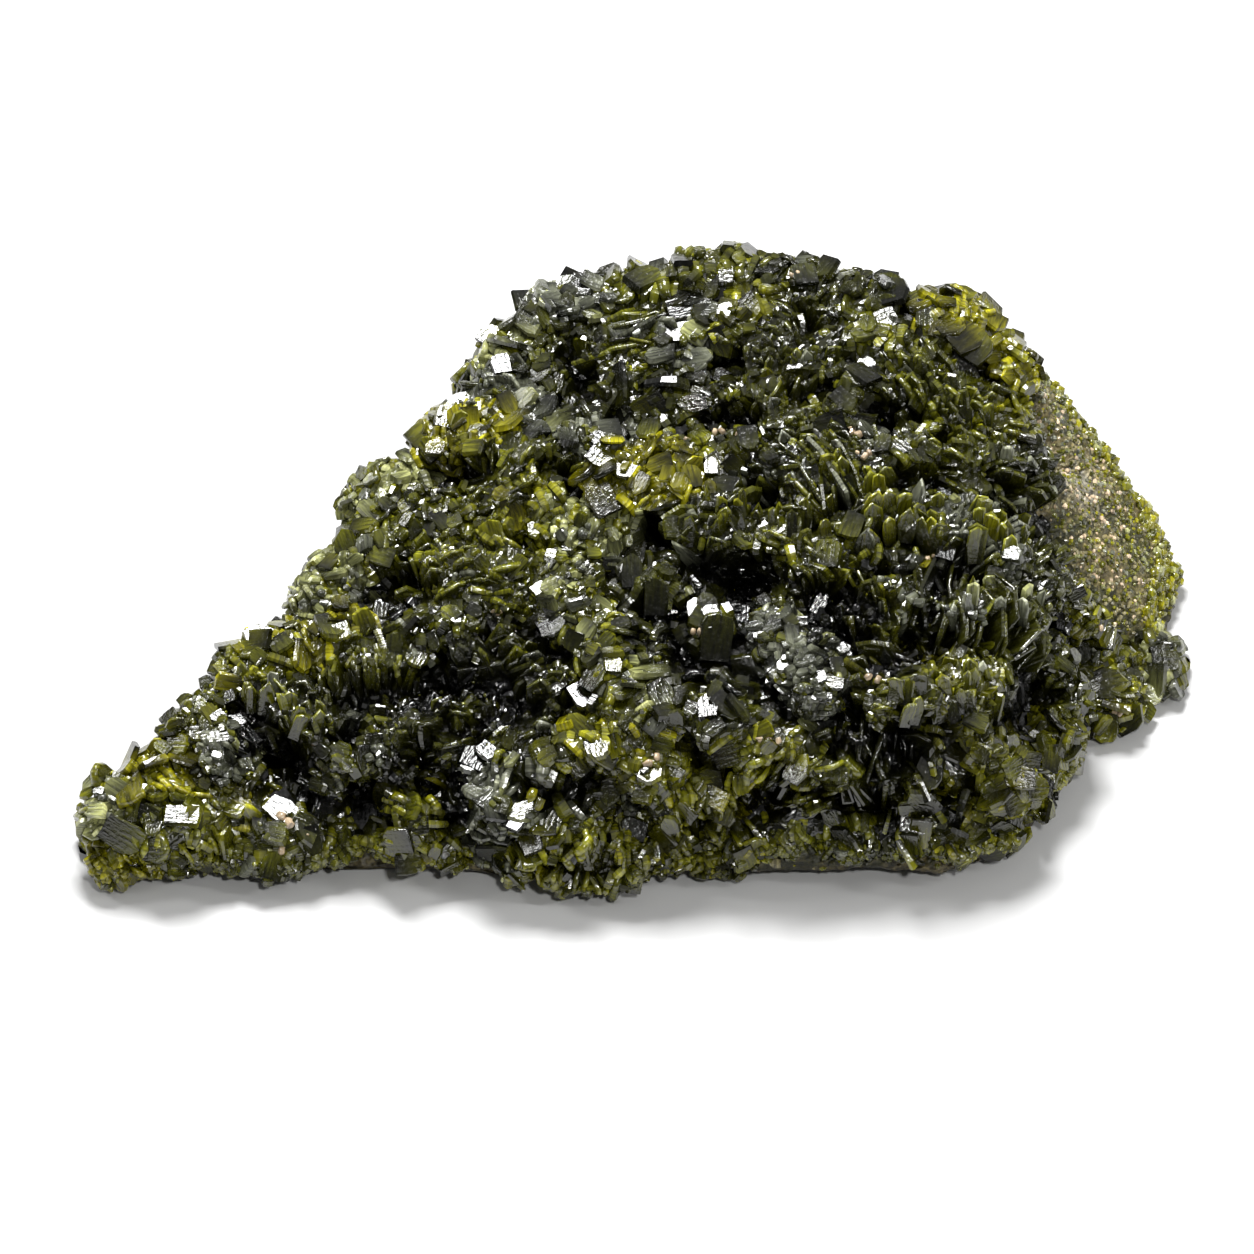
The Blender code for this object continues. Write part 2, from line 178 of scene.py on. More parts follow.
# How the crystals of a sheaf are made: spacing along the stack, crystals side by side in one
# layer, thickness, fall of the tips to the sides and unevenness of the tips of ordered
# sheaves, then the widths and thicknesses of the loose crystals on and around it
KINDS = {
    "leaf": dict(pitch=0.64, parts=(3, 4, 4, 5), thick=0.48, arch=0.18, uneven=0.18,
                 wide=(1.0, 2.3), deep=(0.4, 0.8)),
    "comb": dict(pitch=0.42, parts=(1, 2, 2), thick=0.40, arch=0.20, uneven=0.12,
                 wide=(0.9, 2.2), deep=(0.3, 0.6)),
    "split": dict(wide=(1.2, 2.9), deep=(0.4, 0.8)),
    "knob": dict(wide=(1.0, 2.2), deep=(0.45, 0.9)),
    "block": dict(wide=(1.3, 2.7), deep=(0.6, 1.1)),
}

# A blade's outline from the front: half widths and heights from its left to its right
OUTLINES = {
    "leaf": ((-0.38, 0), (-0.5, 0.45), (-0.4, 0.76), (0.02, 1), (0.42, 0.72), (0.5, 0.42), (0.38, 0)),
    "round": ((-0.42, 0), (-0.5, 0.55), (-0.4, 0.86), (-0.05, 1), (0.36, 0.9), (0.5, 0.55), (0.42, 0)),
    "square": ((-0.45, 0), (-0.5, 0.72), (-0.46, 0.96), (0.12, 1), (0.46, 0.9), (0.5, 0.68), (0.45, 0)),
    "gable": ((-0.45, 0), (-0.5, 0.66), (-0.3, 0.92), (0.08, 1), (0.4, 0.84), (0.5, 0.6), (0.45, 0)),
}
RING = len(OUTLINES["leaf"])

# Colour of a crystal's faces, its lighter colour at the thin rim, partly its own tone and partly a
# painted glow of light through the thin edge, and how much of that shows
TONES = {
    "dark": ((0.017, 0.018, 0.002), (0.070, 0.072, 0.006), 0.50),
    "olive": ((0.044, 0.046, 0.002), (0.150, 0.150, 0.008), 0.55),
    "green": ((0.074, 0.074, 0.002), (0.225, 0.218, 0.010), 0.60),
    "yellow": ((0.100, 0.093, 0.001), (0.300, 0.275, 0.006), 0.65),
    "pale": ((0.160, 0.168, 0.060), (0.380, 0.385, 0.170), 0.60),
    "grey": ((0.066, 0.070, 0.046), (0.230, 0.235, 0.170), 0.55),
    "tan": ((0.560, 0.420, 0.270), (0.680, 0.540, 0.380), 0.50),
    "sand": ((0.150, 0.132, 0.066), (0.270, 0.240, 0.130), 0.50),
}

# The tones that a sheaf of one tone is mixed from
MIXES = {
    "dark": dict(dark=80, olive=14, grey=6),
    "olive": dict(olive=72, dark=16, green=8, grey=4),
    "green": dict(green=66, olive=24, yellow=6, dark=4),
    "yellow": dict(yellow=72, green=24, olive=4),
    "pale": dict(pale=56, green=20, olive=16, grey=8),
    "faded": dict(olive=34, green=26, pale=24, dark=12, grey=4),
    "grey": dict(grey=66, dark=14, olive=12, pale=8),
}

# Sheaves: x, y, heading of the stack in degrees, length along the stack, width of its
# blades, rise above the mean surface, kind and tone
SHEAVES = [
    # At the back
    (-11.5, 21, 60, 7, 5, 0.4, "split", "pale"), (-5.5, 24, 0, 7, 5, 2.2, "block", "grey"),
    (1, 24.5, -20, 7, 5, 1.8, "block", "olive"), (7, 25.5, 10, 8, 5, 2.8, "block", "olive"),
    (13.5, 24.5, -20, 7, 5, 1.6, "split", "dark"), (19.5, 23.2, -25, 8, 5, 0.6, "split", "dark"),
    (28.6, 20.5, -5, 7, 6, 1, "split", "yellow"), (4.5, 19, 80, 7, 5, 0, "split", "grey"),
    (19, 10.8, 60, 7, 5, 0, "block", "dark"), (-0.5, 19, 80, 8, 6, 0.2, "comb", "olive"),
    (-6.5, 18.5, 30, 7, 5, 0, "knob", "dark"), (14, 17.2, 0, 9, 6, 0.9, "leaf", "dark"),
    (21.5, 17.5, -30, 7, 5, 0, "split", "olive"), (-15, 11.8, 0, 9, 6, 1, "split", "yellow"),
    (-9.5, 13, -20, 7, 5, 0, "block", "grey"), (-3, 13.6, 15, 8, 5, 0, "split", "dark"),
    (8.5, 12.8, 30, 7, 5, -0.4, "knob", "dark"), (13, 11.2, 10, 7, 5, 0.4, "leaf", "olive"),
    (26.5, 14.2, -20, 9, 6, 0.4, "leaf", "olive"), (32.2, 12.6, -30, 8, 5, 0.2, "leaf", "green"),
    (33, 18.4, -35, 6, 5, 0.4, "knob", "yellow"), (9.5, 20.2, 40, 6, 4, 0.8, "block", "green"),
    (3, 13.4, -60, 6, 5, 0, "block", "dark"), (-13, 16.6, 50, 6, 4, 0.4, "comb", "grey"),
    # At the left
    (-46, -21.5, 60, 6, 6, 0.2, "split", "pale"), (-46.6, -24.6, 20, 6, 5, -2.6, "knob", "yellow"),
    (-42.5, -19, 45, 7, 5, 0.2, "split", "yellow"), (-41.5, -23.6, -15, 7, 5, 0, "split", "olive"),
    (-37.2, -22.5, 50, 8, 5, 0, "split", "green"), (-38.5, -13.8, 45, 7, 5, 0.2, "knob", "olive"),
    (-31, -23.8, 20, 7, 5, 0, "block", "olive"), (-30.5, -15, -15, 10, 6, 0.3, "leaf", "dark"),
    (-33.5, -8.5, 40, 8, 6, 0.4, "split", "green"), (-27.5, -1.6, 50, 7, 5, 0.5, "knob", "pale"),
    (-25.5, -18.5, 40, 8, 6, 0.2, "knob", "dark"), (-23, -11.5, -55, 9, 6, 0.1, "leaf", "olive"),
    (-22.5, 2, 30, 7, 5, 0, "split", "olive"), (-22.8, 7.6, 25, 7, 6, 0.5, "knob", "pale"),
    (-20, -23.2, 70, 7, 6, 0.3, "split", "green"), (-17.5, -7.8, 10, 8, 5, 0.3, "block", "dark"),
    (-17, 3.6, 0, 8, 6, 0, "knob", "olive"), (-16.5, -1.8, -10, 8, 6, 0.3, "leaf", "olive"),
    (-27.6, -7.8, 15, 7, 5, 0.2, "split", "yellow"), (-36, -17.8, 80, 5, 5, 0.4, "knob", "grey"),
    # In the middle
    (-11.2, 7.6, 20, 7, 6, 0.6, "leaf", "olive"), (-9.5, 2.8, 35, 9, 5, 0.6, "split", "green"),
    (-5.2, 1.6, -25, 9, 6, 0.6, "knob", "pale"), (-2.8, 9.2, 0, 7, 5, 0.4, "block", "grey"),
    (-1.6, 5, 70, 6, 6, 0.8, "split", "yellow"), (2.2, 4.6, -30, 8, 7, 1.2, "split", "yellow"),
    (-11.5, -3, -35, 8, 6, 0.2, "leaf", "olive"), (-6.4, -4.8, -70, 7, 6, 0.6, "knob", "faded"),
    (-3.4, -11, -60, 10, 6, 1, "knob", "faded"), (-0.6, -16.4, -50, 8, 5, 0.6, "split", "faded"),
    (7.4, -0.6, -20, 8, 7, 0.9, "leaf", "dark"), (13.4, 5.6, -20, 7, 5, 0.2, "leaf", "dark"),
    (14.6, -3, -5, 10, 6, 0.4, "leaf", "olive"), (17, 4, 25, 9, 6, 0.6, "comb", "dark"),
    (2, -5.6, -15, 8, 6, -0.4, "block", "dark"), (13.6, -8.8, 10, 8, 5, -1.2, "knob", "dark"),
    (14.4, -14.2, -62, 11, 6, 0.7, "knob", "grey"), (-12.8, -12.2, -40, 8, 6, 0.2, "leaf", "dark"),
    (6.5, -10.6, 20, 7, 6, -0.2, "block", "dark"), (-8.2, -14.8, 20, 8, 5, -0.3, "leaf", "dark"),
    (1.6, -11, -50, 7, 5, -0.5, "knob", "dark"), (-6.8, 7.6, -70, 7, 3, 0.2, "comb", "dark"),
    (7.2, 7.4, 30, 6, 5, 0.2, "block", "olive"),
    # At the right
    (22, 4.2, 20, 7, 5, 0.2, "block", "dark"), (28, 6.8, -40, 8, 6, 0.3, "leaf", "olive"),
    (33.6, 7.4, 40, 8, 6, 0.5, "leaf", "dark"), (22.8, -1.4, 0, 8, 7, 0.5, "leaf", "dark"),
    (29.2, -1.8, 0, 9, 7, 0.6, "leaf", "grey"), (35, -2.2, -15, 7, 6, 0.3, "leaf", "dark"),
    (21.8, -9.8, -35, 7, 5, 0, "leaf", "olive"), (26.8, -9.2, 5, 8, 6, 0.6, "comb", "dark"),
    (32.4, -8.6, 5, 8, 6, 0.7, "comb", "dark"), (37.4, -8, -40, 7, 5, 0.4, "knob", "dark"),
    (42.2, -3.6, -48, 9, 6, 0.6, "split", "green"), (46.6, 0.4, -60, 6, 5, 0.7, "block", "pale"),
    (31.4, -14.2, 10, 8, 5, 0, "knob", "olive"), (36.6, -13.4, 50, 8, 6, 0.2, "split", "green"),
    (27.6, -16.8, -10, 8, 6, 0, "leaf", "green"), (39.2, -1, -20, 5, 4, 0, "knob", "green"),
    # At the front
    (-13.2, -17.2, 10, 7, 5, -0.6, "leaf", "olive"), (-18.4, -17.6, -30, 7, 5, 0.2, "leaf", "dark"),
    (-12.6, -22.6, -25, 7, 6, 0.5, "split", "grey"), (-7.6, -23, 5, 7, 6, 0.6, "block", "dark"),
    (-3.6, -20.8, 20, 7, 5, 0.4, "block", "green"), (1.6, -21.4, 70, 6, 5, 0.7, "block", "green"),
    (-4.4, -26.4, 0, 9, 6, 1.2, "split", "green"), (6.8, -18.4, -20, 8, 6, 0.2, "block", "dark"),
    (5.2, -23.4, 15, 7, 6, 0.2, "split", "green"), (11.4, -21.8, -50, 8, 6, 0.5, "split", "green"),
    (16.8, -22.6, 0, 8, 6, 0.1, "leaf", "olive"), (22.2, -18, -30, 7, 6, 0.5, "leaf", "olive"),
    (22.6, -22.6, 5, 8, 6, 0, "comb", "dark"), (27.8, -21.6, 60, 8, 6, 0, "split", "green"),
    (32.6, -19.4, -40, 7, 6, 0.4, "split", "green"),
]

# The tones of the crystals that shine
SHINING = {"glint": "olive", "sheen": "grey"}

# Larger crystals that stand out: their look, then for each place x, y plus height, how many
# side by side, and size. Points with the same sum of y and height lie behind each other in
# the photo's view. A glint mirrors the key light to the viewer, and a sheen almost does.
SPOTS = [
    ("glint",
        (-1.2, 40, 2, 1.1), (-4, 30.3, 3, 1.1), (-8.3, 33.5, 2, 0.8), (-12, 21.7, 2, 1),
        (-4.3, 8.3, 2, 1.1), (-24.5, 3.5, 3, 0.9), (-19.8, 6.7, 1, 1), (-16.8, 7.2, 2, 1.1),
        (-42.7, -17.5, 3, 0.9), (-37.5, -11, 3, 0.9), (-33, -19, 2, 1), (-35.3, -21.5, 2, 1),
        (-12.2, -14.5, 1, 1), (-18.9, -17.5, 2, 0.8), (-3.1, -17, 2, 1.1), (5, 43, 2, 1.1),
        (2.3, 39.3, 2, 0.8), (15.5, 41.3, 2, 0.9), (19, 46.3, 2, 1.1), (14.7, 32.5, 3, 1.1),
        (16.7, 33.3, 1, 0.7), (4.5, 29.3, 3, 0.8), (19.2, 29.3, 3, 0.9), (16.5, 27.2, 3, 1),
        (18.2, 25.2, 1, 0.8), (8.8, 18, 2, 1), (12.3, 16, 2, 0.9), (17.6, 18.5, 2, 1),
        (31.5, 15.7, 3, 1), (33, 10.3, 2, 1), (37, 10, 3, 1.3), (12, 5.5, 3, 1.2),
        (16.8, -2.5, 2, 0.8), (21.3, -3.7, 2, 0.9), (18.2, -6, 2, 1.2), (11.7, -7.3, 2, 1),
        (31.6, -9.7, 2, 1.3), (25, -16.5, 2, 1.2), (1, -11.7, 2, 1.1), (1, -15, 3, 1.3),
        (0.8, -6, 2, 1.1), (0.9, -3.3, 1, 0.8), (40.2, 8, 1, 0.7), (44.3, 8, 2, 0.8),
        (42, 6, 2, 0.8), (42.5, 3, 3, 0.9), (44.3, -1, 3, 0.9), (47.7, 4.8, 1, 2.2)),
    ("sheen",
        (-28.5, 10, 4, 1.2), (-26, 11.5, 4, 1.2), (-25, 13, 3, 1), (-47, -15, 4, 1.2),
        (-4, 18.5, 4, 1.1), (-5.3, 14.2, 4, 0.9), (-2.5, 2.5, 4, 0.9), (14.5, 1, 9, 1.2),
        (13.5, 3, 7, 1.2), (15.3, -1, 9, 1.1), (46, 5.5, 5, 1.2), (44, 4, 4, 1),
        (-0.5, -14.5, 3, 1.1), (28, 19.5, 3, 0.9), (0, 43.5, 1, 1), (-7, 31, 2, 1), (-5, 28, 2, 1),
        (10.2, 29.3, 2, 0.8), (12.3, 26, 2, 0.8), (-13.5, 38, 3, 0.9), (-12, 40, 2, 0.9),
        (-15, 34.5, 3, 0.8), (24, 10, 3, 1.2), (22, 12, 3, 1), (-23, -9, 4, 1), (-12, -17, 3, 1.2),
        (41, 3, 4, 0.8), (43, 0, 4, 0.8), (33.5, 13.5, 3, 1), (30, 8, 4, 0.9), (27, 9, 3, 0.9),
        (-1.5, 29.5, 1, 1), (-9, -17, 3, 1), (-19, 3, 3, 1), (-31, -1, 3, 1), (36.5, 24, 1, 1.8),
        (9, 26, 2, 1.2)),
    ("tan",
        (19, 30.8, 3, 0.9), (20, 27.8, 3, 0.8), (7, 31, 2, 0.8), (4.7, 30.4, 2, 0.7),
        (8.7, 30.5, 2, 0.7), (36, 36, 2, 0.9), (14, 50.6, 2, 0.8), (22, 13.8, 2, 0.9),
        (25.5, 15.3, 2, 0.7), (43, -4.2, 3, 0.8), (41, 6.6, 1, 0.8), (5, 6, 2, 0.9),
        (11.4, -7.7, 3, 1.1), (20.5, 0.4, 2, 0.9), (1, -10.2, 2, 1.2), (-12, 8.4, 2, 0.8),
        (-20, 9.7, 2, 0.8), (-23.5, 6.8, 2, 0.8), (-30.5, -18.3, 2, 1.4), (-29, -19.1, 1, 1.2),
        (-31.2, -21, 1, 0.9)),
    ("yellow", (-26, 17.7, 2, 1.4), (41.3, 17.1, 1, 1.6)),
    ("olive", (10, 43.9, 1, 1.8)),
    ("yellow", (-1, 26.6, 2, 1.6), (2.5, 25.5, 2, 2)),
    ("green", (36, 34.8, 1, 2.3)),
    ("dark",
        (-7, 24.7, 1, 2), (9, -3.8, 2, 1.9), (21, 3.4, 1, 2.1), (-8, -8.7, 2, 2), (3, 34.5, 2, 1.9),
        (24, 31.4, 2, 1.9), (10, 1.9, 2, 1.8)),
    ("green", (46, 4.9, 2, 1.8)),
    ("yellow", (-9, -14.2, 2, 1.5)),
]

# The deep crevices: half width, then the points of their line as x and y plus height
CREVICES = [
    (0.8, (-18, 26.5), (-15.5, 26), (-13.5, 27)), (0.7, (-8, 26.5), (-6.5, 26), (-5.5, 24)),
    (0.9, (-6, 41), (-4.8, 39), (-5, 37)), (0.4, (-7, 36), (-6.6, 34.5)),
    (0.7, (-2, 33), (-1.2, 31)), (0.9, (-20.5, 13.5), (-19.2, 12)), (0.4, (-11, 17.5), (-10, 17)),
    (0.7, (-13.5, 6), (-11.5, 3), (-10.5, 1)), (1.4, (-25, -1.3), (-22, -1.5), (-19, -2)),
    (1.5, (-17, 0.5), (-13, -0.5), (-10, -2.5), (-12, -4)),
    (0.6, (-24, -3.5), (-25.5, -7.5), (-26.5, -7.5)), (0.8, (-16.5, -5.5), (-14, -6), (-14.5, -8)),
    (0.9, (-19.2, -7.5), (-18.8, -10)),
    (1.1, (-35, -3.5), (-33.8, -6), (-34.5, -9.5), (-31.5, -10)),
    (0.9, (-31.5, -7), (-30, -8.5), (-29, -11)), (1, (-24.5, -14), (-24, -16.5), (-22.5, -17.5)),
    (0.8, (-20, -13.5), (-18.5, -13)), (1, (-16, -12.5), (-15.5, -15), (-16.5, -17.5)),
    (1.3, (-9.5, -13), (-8, -14.8), (-5.5, -14), (-4.5, -12)), (0.6, (-3, -20), (-2.5, -20)),
    (0.6, (-5.8, -2.4), (-5.3, -1.5)), (0.6, (-7.2, 3.7), (-6.3, 3.5)),
    (1.3, (5, 15), (7, 14), (11.5, 13.8)), (0.9, (9.5, 12), (9, 9), (9, 4)),
    (0.9, (0.5, 9), (2, 8), (4, 8.5)), (0.6, (-0.5, 6.5), (0, 4.5)),
    (1, (3.5, 5), (4.5, 2), (5, 0)), (0.9, (5, 0), (6, 2), (7, 3)), (0.7, (1, 19.5), (2, 18.5)),
    (1, (6.8, 32.5), (8.5, 32.8), (9.8, 33)), (0.7, (7, 40), (8.5, 40.5)),
    (0.8, (14, 36), (16.5, 36.5)), (0.7, (15, 45), (15.8, 45.5)), (1, (21, 34), (22, 33)),
    (0.5, (25.3, 33.6), (26, 33.3)), (0.6, (27.3, 31), (27.8, 30)), (0.7, (29, 41), (31.5, 38.5)),
    (0.7, (10, 22), (11.5, 22.5), (11.8, 23.5)), (0.6, (15.5, 20), (17, 21.5), (18.5, 23)),
    (0.8, (23, 25), (25, 25.8), (27, 25)), (0.6, (31.5, 26), (32.5, 24), (35, 25)),
    (0.7, (21, 18), (23, 18.5), (25.5, 17)), (1.1, (30, 14.5), (28, 14.5), (26.5, 12.5), (25.5, 8)),
    (0.9, (15, 9.5), (15.5, 6), (17, 3)), (1.4, (16, 10), (18.5, 10.5), (20.5, 9), (19, 6.5)),
    (1.4, (20, 1), (22.5, 2.5), (24, 3.5)), (0.9, (26, 4), (28, 5.5), (31, 6), (34, 7)),
    (0.9, (33.8, 4), (34.5, 0), (33.5, -4.5)), (1.5, (33, -4.8), (34, -5.2)),
    (0.7, (36.6, -1.7), (37, -1.7)), (1, (28, -3.5), (27.5, -6), (28, -8), (27.5, -12)),
    (1.6, (28, -12.5), (27, -13.5)), (1.5, (23.5, -6.5), (22, -9)), (0.6, (24, -9), (25, -11)),
    (0.6, (17, -8), (19.5, -9.5), (20.3, -12), (20.5, -15)),
    (0.9, (12, -11.5), (13.5, -13.5), (16, -14.5), (19, -16), (21, -16), (23, -14)),
    (1, (9, -17.5), (10.5, -15.5), (12, -14.5)), (1, (5.2, -18.3), (5.8, -18.3)),
    (0.7, (4, -7.5), (5.5, -9.5), (7.5, -10.5)), (0.5, (18, -1.5), (19.5, -4)),
    (0.7, (11.3, -1.5), (11.8, -2)),
]

# Rows of upright plates that face the viewer: half width of the row, narrowest and widest
# plate, plate length, mix, then the points of the row's line as x and y plus height. The
# small crystals keep off this share of a row's places.
ROW_CLEARING = 0.75
PLATES_PER_AREA = 0.42
PLATE_ROWS = [
    (2.6, 1.1, 2.1, 3.6, "olive", (20, 19), (24, 20), (28, 19.2), (32, 18), (35, 16.5)),
    (2.2, 0.8, 1.5, 3.4, "olive", (4, 20.6), (8, 19.4), (12, 19.6), (17, 19.4)),
    (1.6, 0.8, 1.4, 2.8, "grey", (27, 9.6), (31, 10.2), (36.5, 9.6)),
    (2.2, 0.9, 1.8, 3, "dark", (24, 38), (27, 36), (30, 33), (33, 29)),
    (2, 0.9, 1.8, 3, "dark", (10.5, 40.5), (14, 40), (17.5, 39)),
    (2, 0.9, 1.7, 3, "olive", (16, 28.5), (19, 27), (22, 25)),
    (2, 0.9, 1.7, 3, "olive", (-35, -0.5), (-31, -4), (-27, -5.5)),
    (2, 0.9, 1.7, 3, "olive", (21, -2), (25, -2.5), (29, -1), (32, -1.5)),
]


def new_object(name, data):
    made = bpy.data.objects.new(name, data)
    bpy.context.scene.collection.objects.link(made)
    return made


def remeshed(name, mesh, voxel):
    """A new object: the mesh rebuilt with even faces of about this size in millimetres."""
    made = new_object(name, mesh)
    remesh = made.modifiers.new("even", "REMESH")
    remesh.mode = "VOXEL"
    remesh.voxel_size = voxel * MM
    graph = bpy.context.evaluated_depsgraph_get()
    made.data = bpy.data.meshes.new_from_object(made.evaluated_get(graph))
    made.modifiers.clear()
    return made


def vectors_of(items, field="co"):
    """A vector of each of the vertices, polygons or normals, as rows of an array."""
    values = np.empty(len(items) * 3)
    items.foreach_get(field, values)
    return values.reshape(-1, 3)


def shaken(rng, spread):
    """A random vector."""
    return Vector([rng.gauss(0.0, spread) for _ in range(3)])


def square_to(way, axis):
    """The direction nearest to the given way that is square to the axis."""
    return (way - axis * way.dot(axis)).normalized()


def from_least(least, share):
    return least + (1.0 - least) * share


def smooth(value):
    """0 below 0, 1 above 1, and an even slope between."""
    value = min(1.0, max(0.0, value))
    return value * value * (3.0 - 2.0 * value)


def inside(x, y, outline):
    """True if the point lies in the closed outline."""
    hit = False
    for i, (ax, ay) in enumerate(outline):
        bx, by = outline[(i + 1) % len(outline)]
        if (ay > y) != (by > y) and x < (bx - ax) * (y - ay) / (by - ay) + ax:
            hit = not hit
    return hit


def distance(x, y, line, closed=True):
    """Distance from the point to the outline or, if it isn't closed, to the open line."""
    best = math.inf
    for i in range(len(line) if closed else len(line) - 1):
        ax, ay = line[i]
        bx, by = line[(i + 1) % len(line)]
        ex, ey = bx - ax, by - ay
        t = ((x - ax) * ex + (y - ay) * ey) / (ex * ex + ey * ey)
        t = min(1.0, max(0.0, t))
        best = min(best, math.hypot(x - ax - t * ex, y - ay - t * ey))
    return best


def flank_share(x, y):
    """0 where crystals cover the plate, rising to 1 at the bare right flank."""
    line_x, line_y = zip(*FLANK_LINE)
    beyond = FLANK_LINE + [(60.0, line_y[-1]), (60.0, 40.0), (line_x[0], 40.0)]
    if inside(x, y, beyond):
        return 1.0
    return 1.0 - smooth(distance(x, y, FLANK_LINE, closed=False) / FLANK_FADE)


def mean_top(x, y):
    """Height of the plate's mean surface, crystals included, away from its edge."""
    fall = FALL_CURVE * max(0.0, x - FALL_START_X) ** 2
    plateau = CENTRE_HEIGHT + SLOPE_X * x + SLOPE_Y * y - fall
    flank = FLANK_HEIGHT - FLANK_SLOPE * (x - FLANK_START_X)
    return max(LEAST_HEIGHT, min(plateau, flank))


def rim_share(x, y):
    """How high the edge stands: low in front and on the right, and steep at the back and left."""
    behind_front = max(smooth((y + 23.5) / 9.0), smooth((-34.0 - x) / 8.0))
    on_right = smooth((x - 26.0) / 10.0) * (1.0 - smooth((y - 8.0) / 10.0))
    return LOW_RIM + (HIGH_RIM - LOW_RIM) * behind_front * (1.0 - on_right)


def top(x, y):
    """Height of the mean surface, rounded down at the edge."""
    height = mean_top(x, y)
    rim = height * rim_share(x, y)
    depth = distance(x, y, EDGE) if inside(x, y, EDGE) else 0.0
    return rim + (height - rim) * math.sin(math.pi / 2 * min(1.0, depth / SHOULDER))


def rock_top(x, y):
    """Height of the rock: it carries the crust, and comes to the surface on the flank."""
    height = top(x, y)
    under = max(ROCK_SHARE * height, height - CRUST_DEPTH)
    return under + (height - under) * flank_share(x, y)


def surface_normal(x, y, step=1.5):
    """Normal of the mean surface, measured over a few millimetres."""
    slope_x = (top(x + step, y) - top(x - step, y)) / (2 * step)
    slope_y = (top(x, y + step) - top(x, y - step)) / (2 * step)
    return Vector((-slope_x, -slope_y, 1.0)).normalized()


def shift_to_frame():
    """How far the frame lies from the plate's own coordinates, in millimetres."""
    low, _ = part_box("matrix_rock")
    return np.array((low.x / MM - min(p[0] for p in EDGE), low.y / MM - min(p[1] for p in EDGE), 0.0))


SHIFT = shift_to_frame()
BOX_LOW = np.array(cad_box[0]) / MM - SHIFT
BOX_HIGH = np.array(cad_box[1]) / MM - SHIFT
BOX_LOW = np.maximum(BOX_LOW, (LEFT_END, FRONT_END, 0.0))


def left_limit(points):
    """The left tip's rounded end: how far left a point may lie at its place in the photo's view."""
    return LEFT_END + np.minimum(TIP_REACH, TIP_CURVE * (points[:, 1] + points[:, 2] - TIP_VIEW) ** 2)


def out_of_box(points):
    return (points < BOX_LOW).any() or (points > BOX_HIGH).any()


class Pile:
    """Collects many small closed shapes that become one mesh."""

    def __init__(self, name):
        self.name, self.parts, self.count = name, [], 0

    def add(self, points, faces, *looks):
        corners, sizes = faces
        self.parts.append((points, corners + self.count, sizes, *looks))
        self.count += len(points)

    def make(self, material):
        columns = (np.concatenate(part) for part in zip(*self.parts))
        points, corners, sizes, colours, grains, rounded = columns
        points = (points + SHIFT) * MM
        corners, sizes = corners.astype(np.int32), sizes.astype(np.int32)
        mesh = bpy.data.meshes.new(self.name)
        mesh.vertices.add(len(points))
        mesh.vertices.foreach_set("co", points.astype(np.float32).ravel())
        mesh.loops.add(len(corners))
        mesh.loops.foreach_set("vertex_index", corners)
        mesh.polygons.add(len(sizes))
        starts = np.concatenate(([0], np.cumsum(sizes)[:-1])).astype(np.int32)
        mesh.polygons.foreach_set("loop_start", starts)
        mesh.update(calc_edges=True)
        mesh.polygons.foreach_set("use_smooth", rounded)
        paint(mesh, colours, grains)
        mesh.validate()
        mesh.materials.append(material)
        print(f"{self.name}: {int((sizes - 2).sum())} triangles")
        return new_object(self.name, mesh)


def prism_faces(count, rings):
    """Faces of rings of count points joined in order and closed at both ends."""
    corners, sizes = list(range(count)), [count]
    for ring in range(rings - 1):
        for i in range(count):
            j = (i + 1) % count
            near, far = ring * count, (ring + 1) * count
            corners += [near + i, far + i, far + j, near + j]
            sizes.append(4)
    corners += [(rings - 1) * count + i for i in reversed(range(count))]
    sizes.append(count)
    return np.array(corners), np.array(sizes)


PRISM_FACES = prism_faces(RING, 3)
SHARP = np.zeros(len(PRISM_FACES[1]), bool)
ROUNDED = np.ones(len(PRISM_FACES[1]), bool)
ROUND_RIM = np.array([False] + [True] * (len(PRISM_FACES[1]) - 2) + [False])


def bead_shape():
    """Points and faces of a small round crystal."""
    bm = bmesh.new()
    bmesh.ops.create_icosphere(bm, subdivisions=1, radius=1.0)
    points = np.array([v.co[:] for v in bm.verts])
    corners = np.array([v.index for f in bm.faces for v in f.verts])
    sizes = np.array([len(f.verts) for f in bm.faces])
    bm.free()
    return points, (corners, sizes)


BEAD_POINTS, BEAD_FACES = bead_shape()


def mixed(colour_a, colour_b, share):
    return np.outer(1.0 - share, colour_a) + np.outer(share, colour_b)


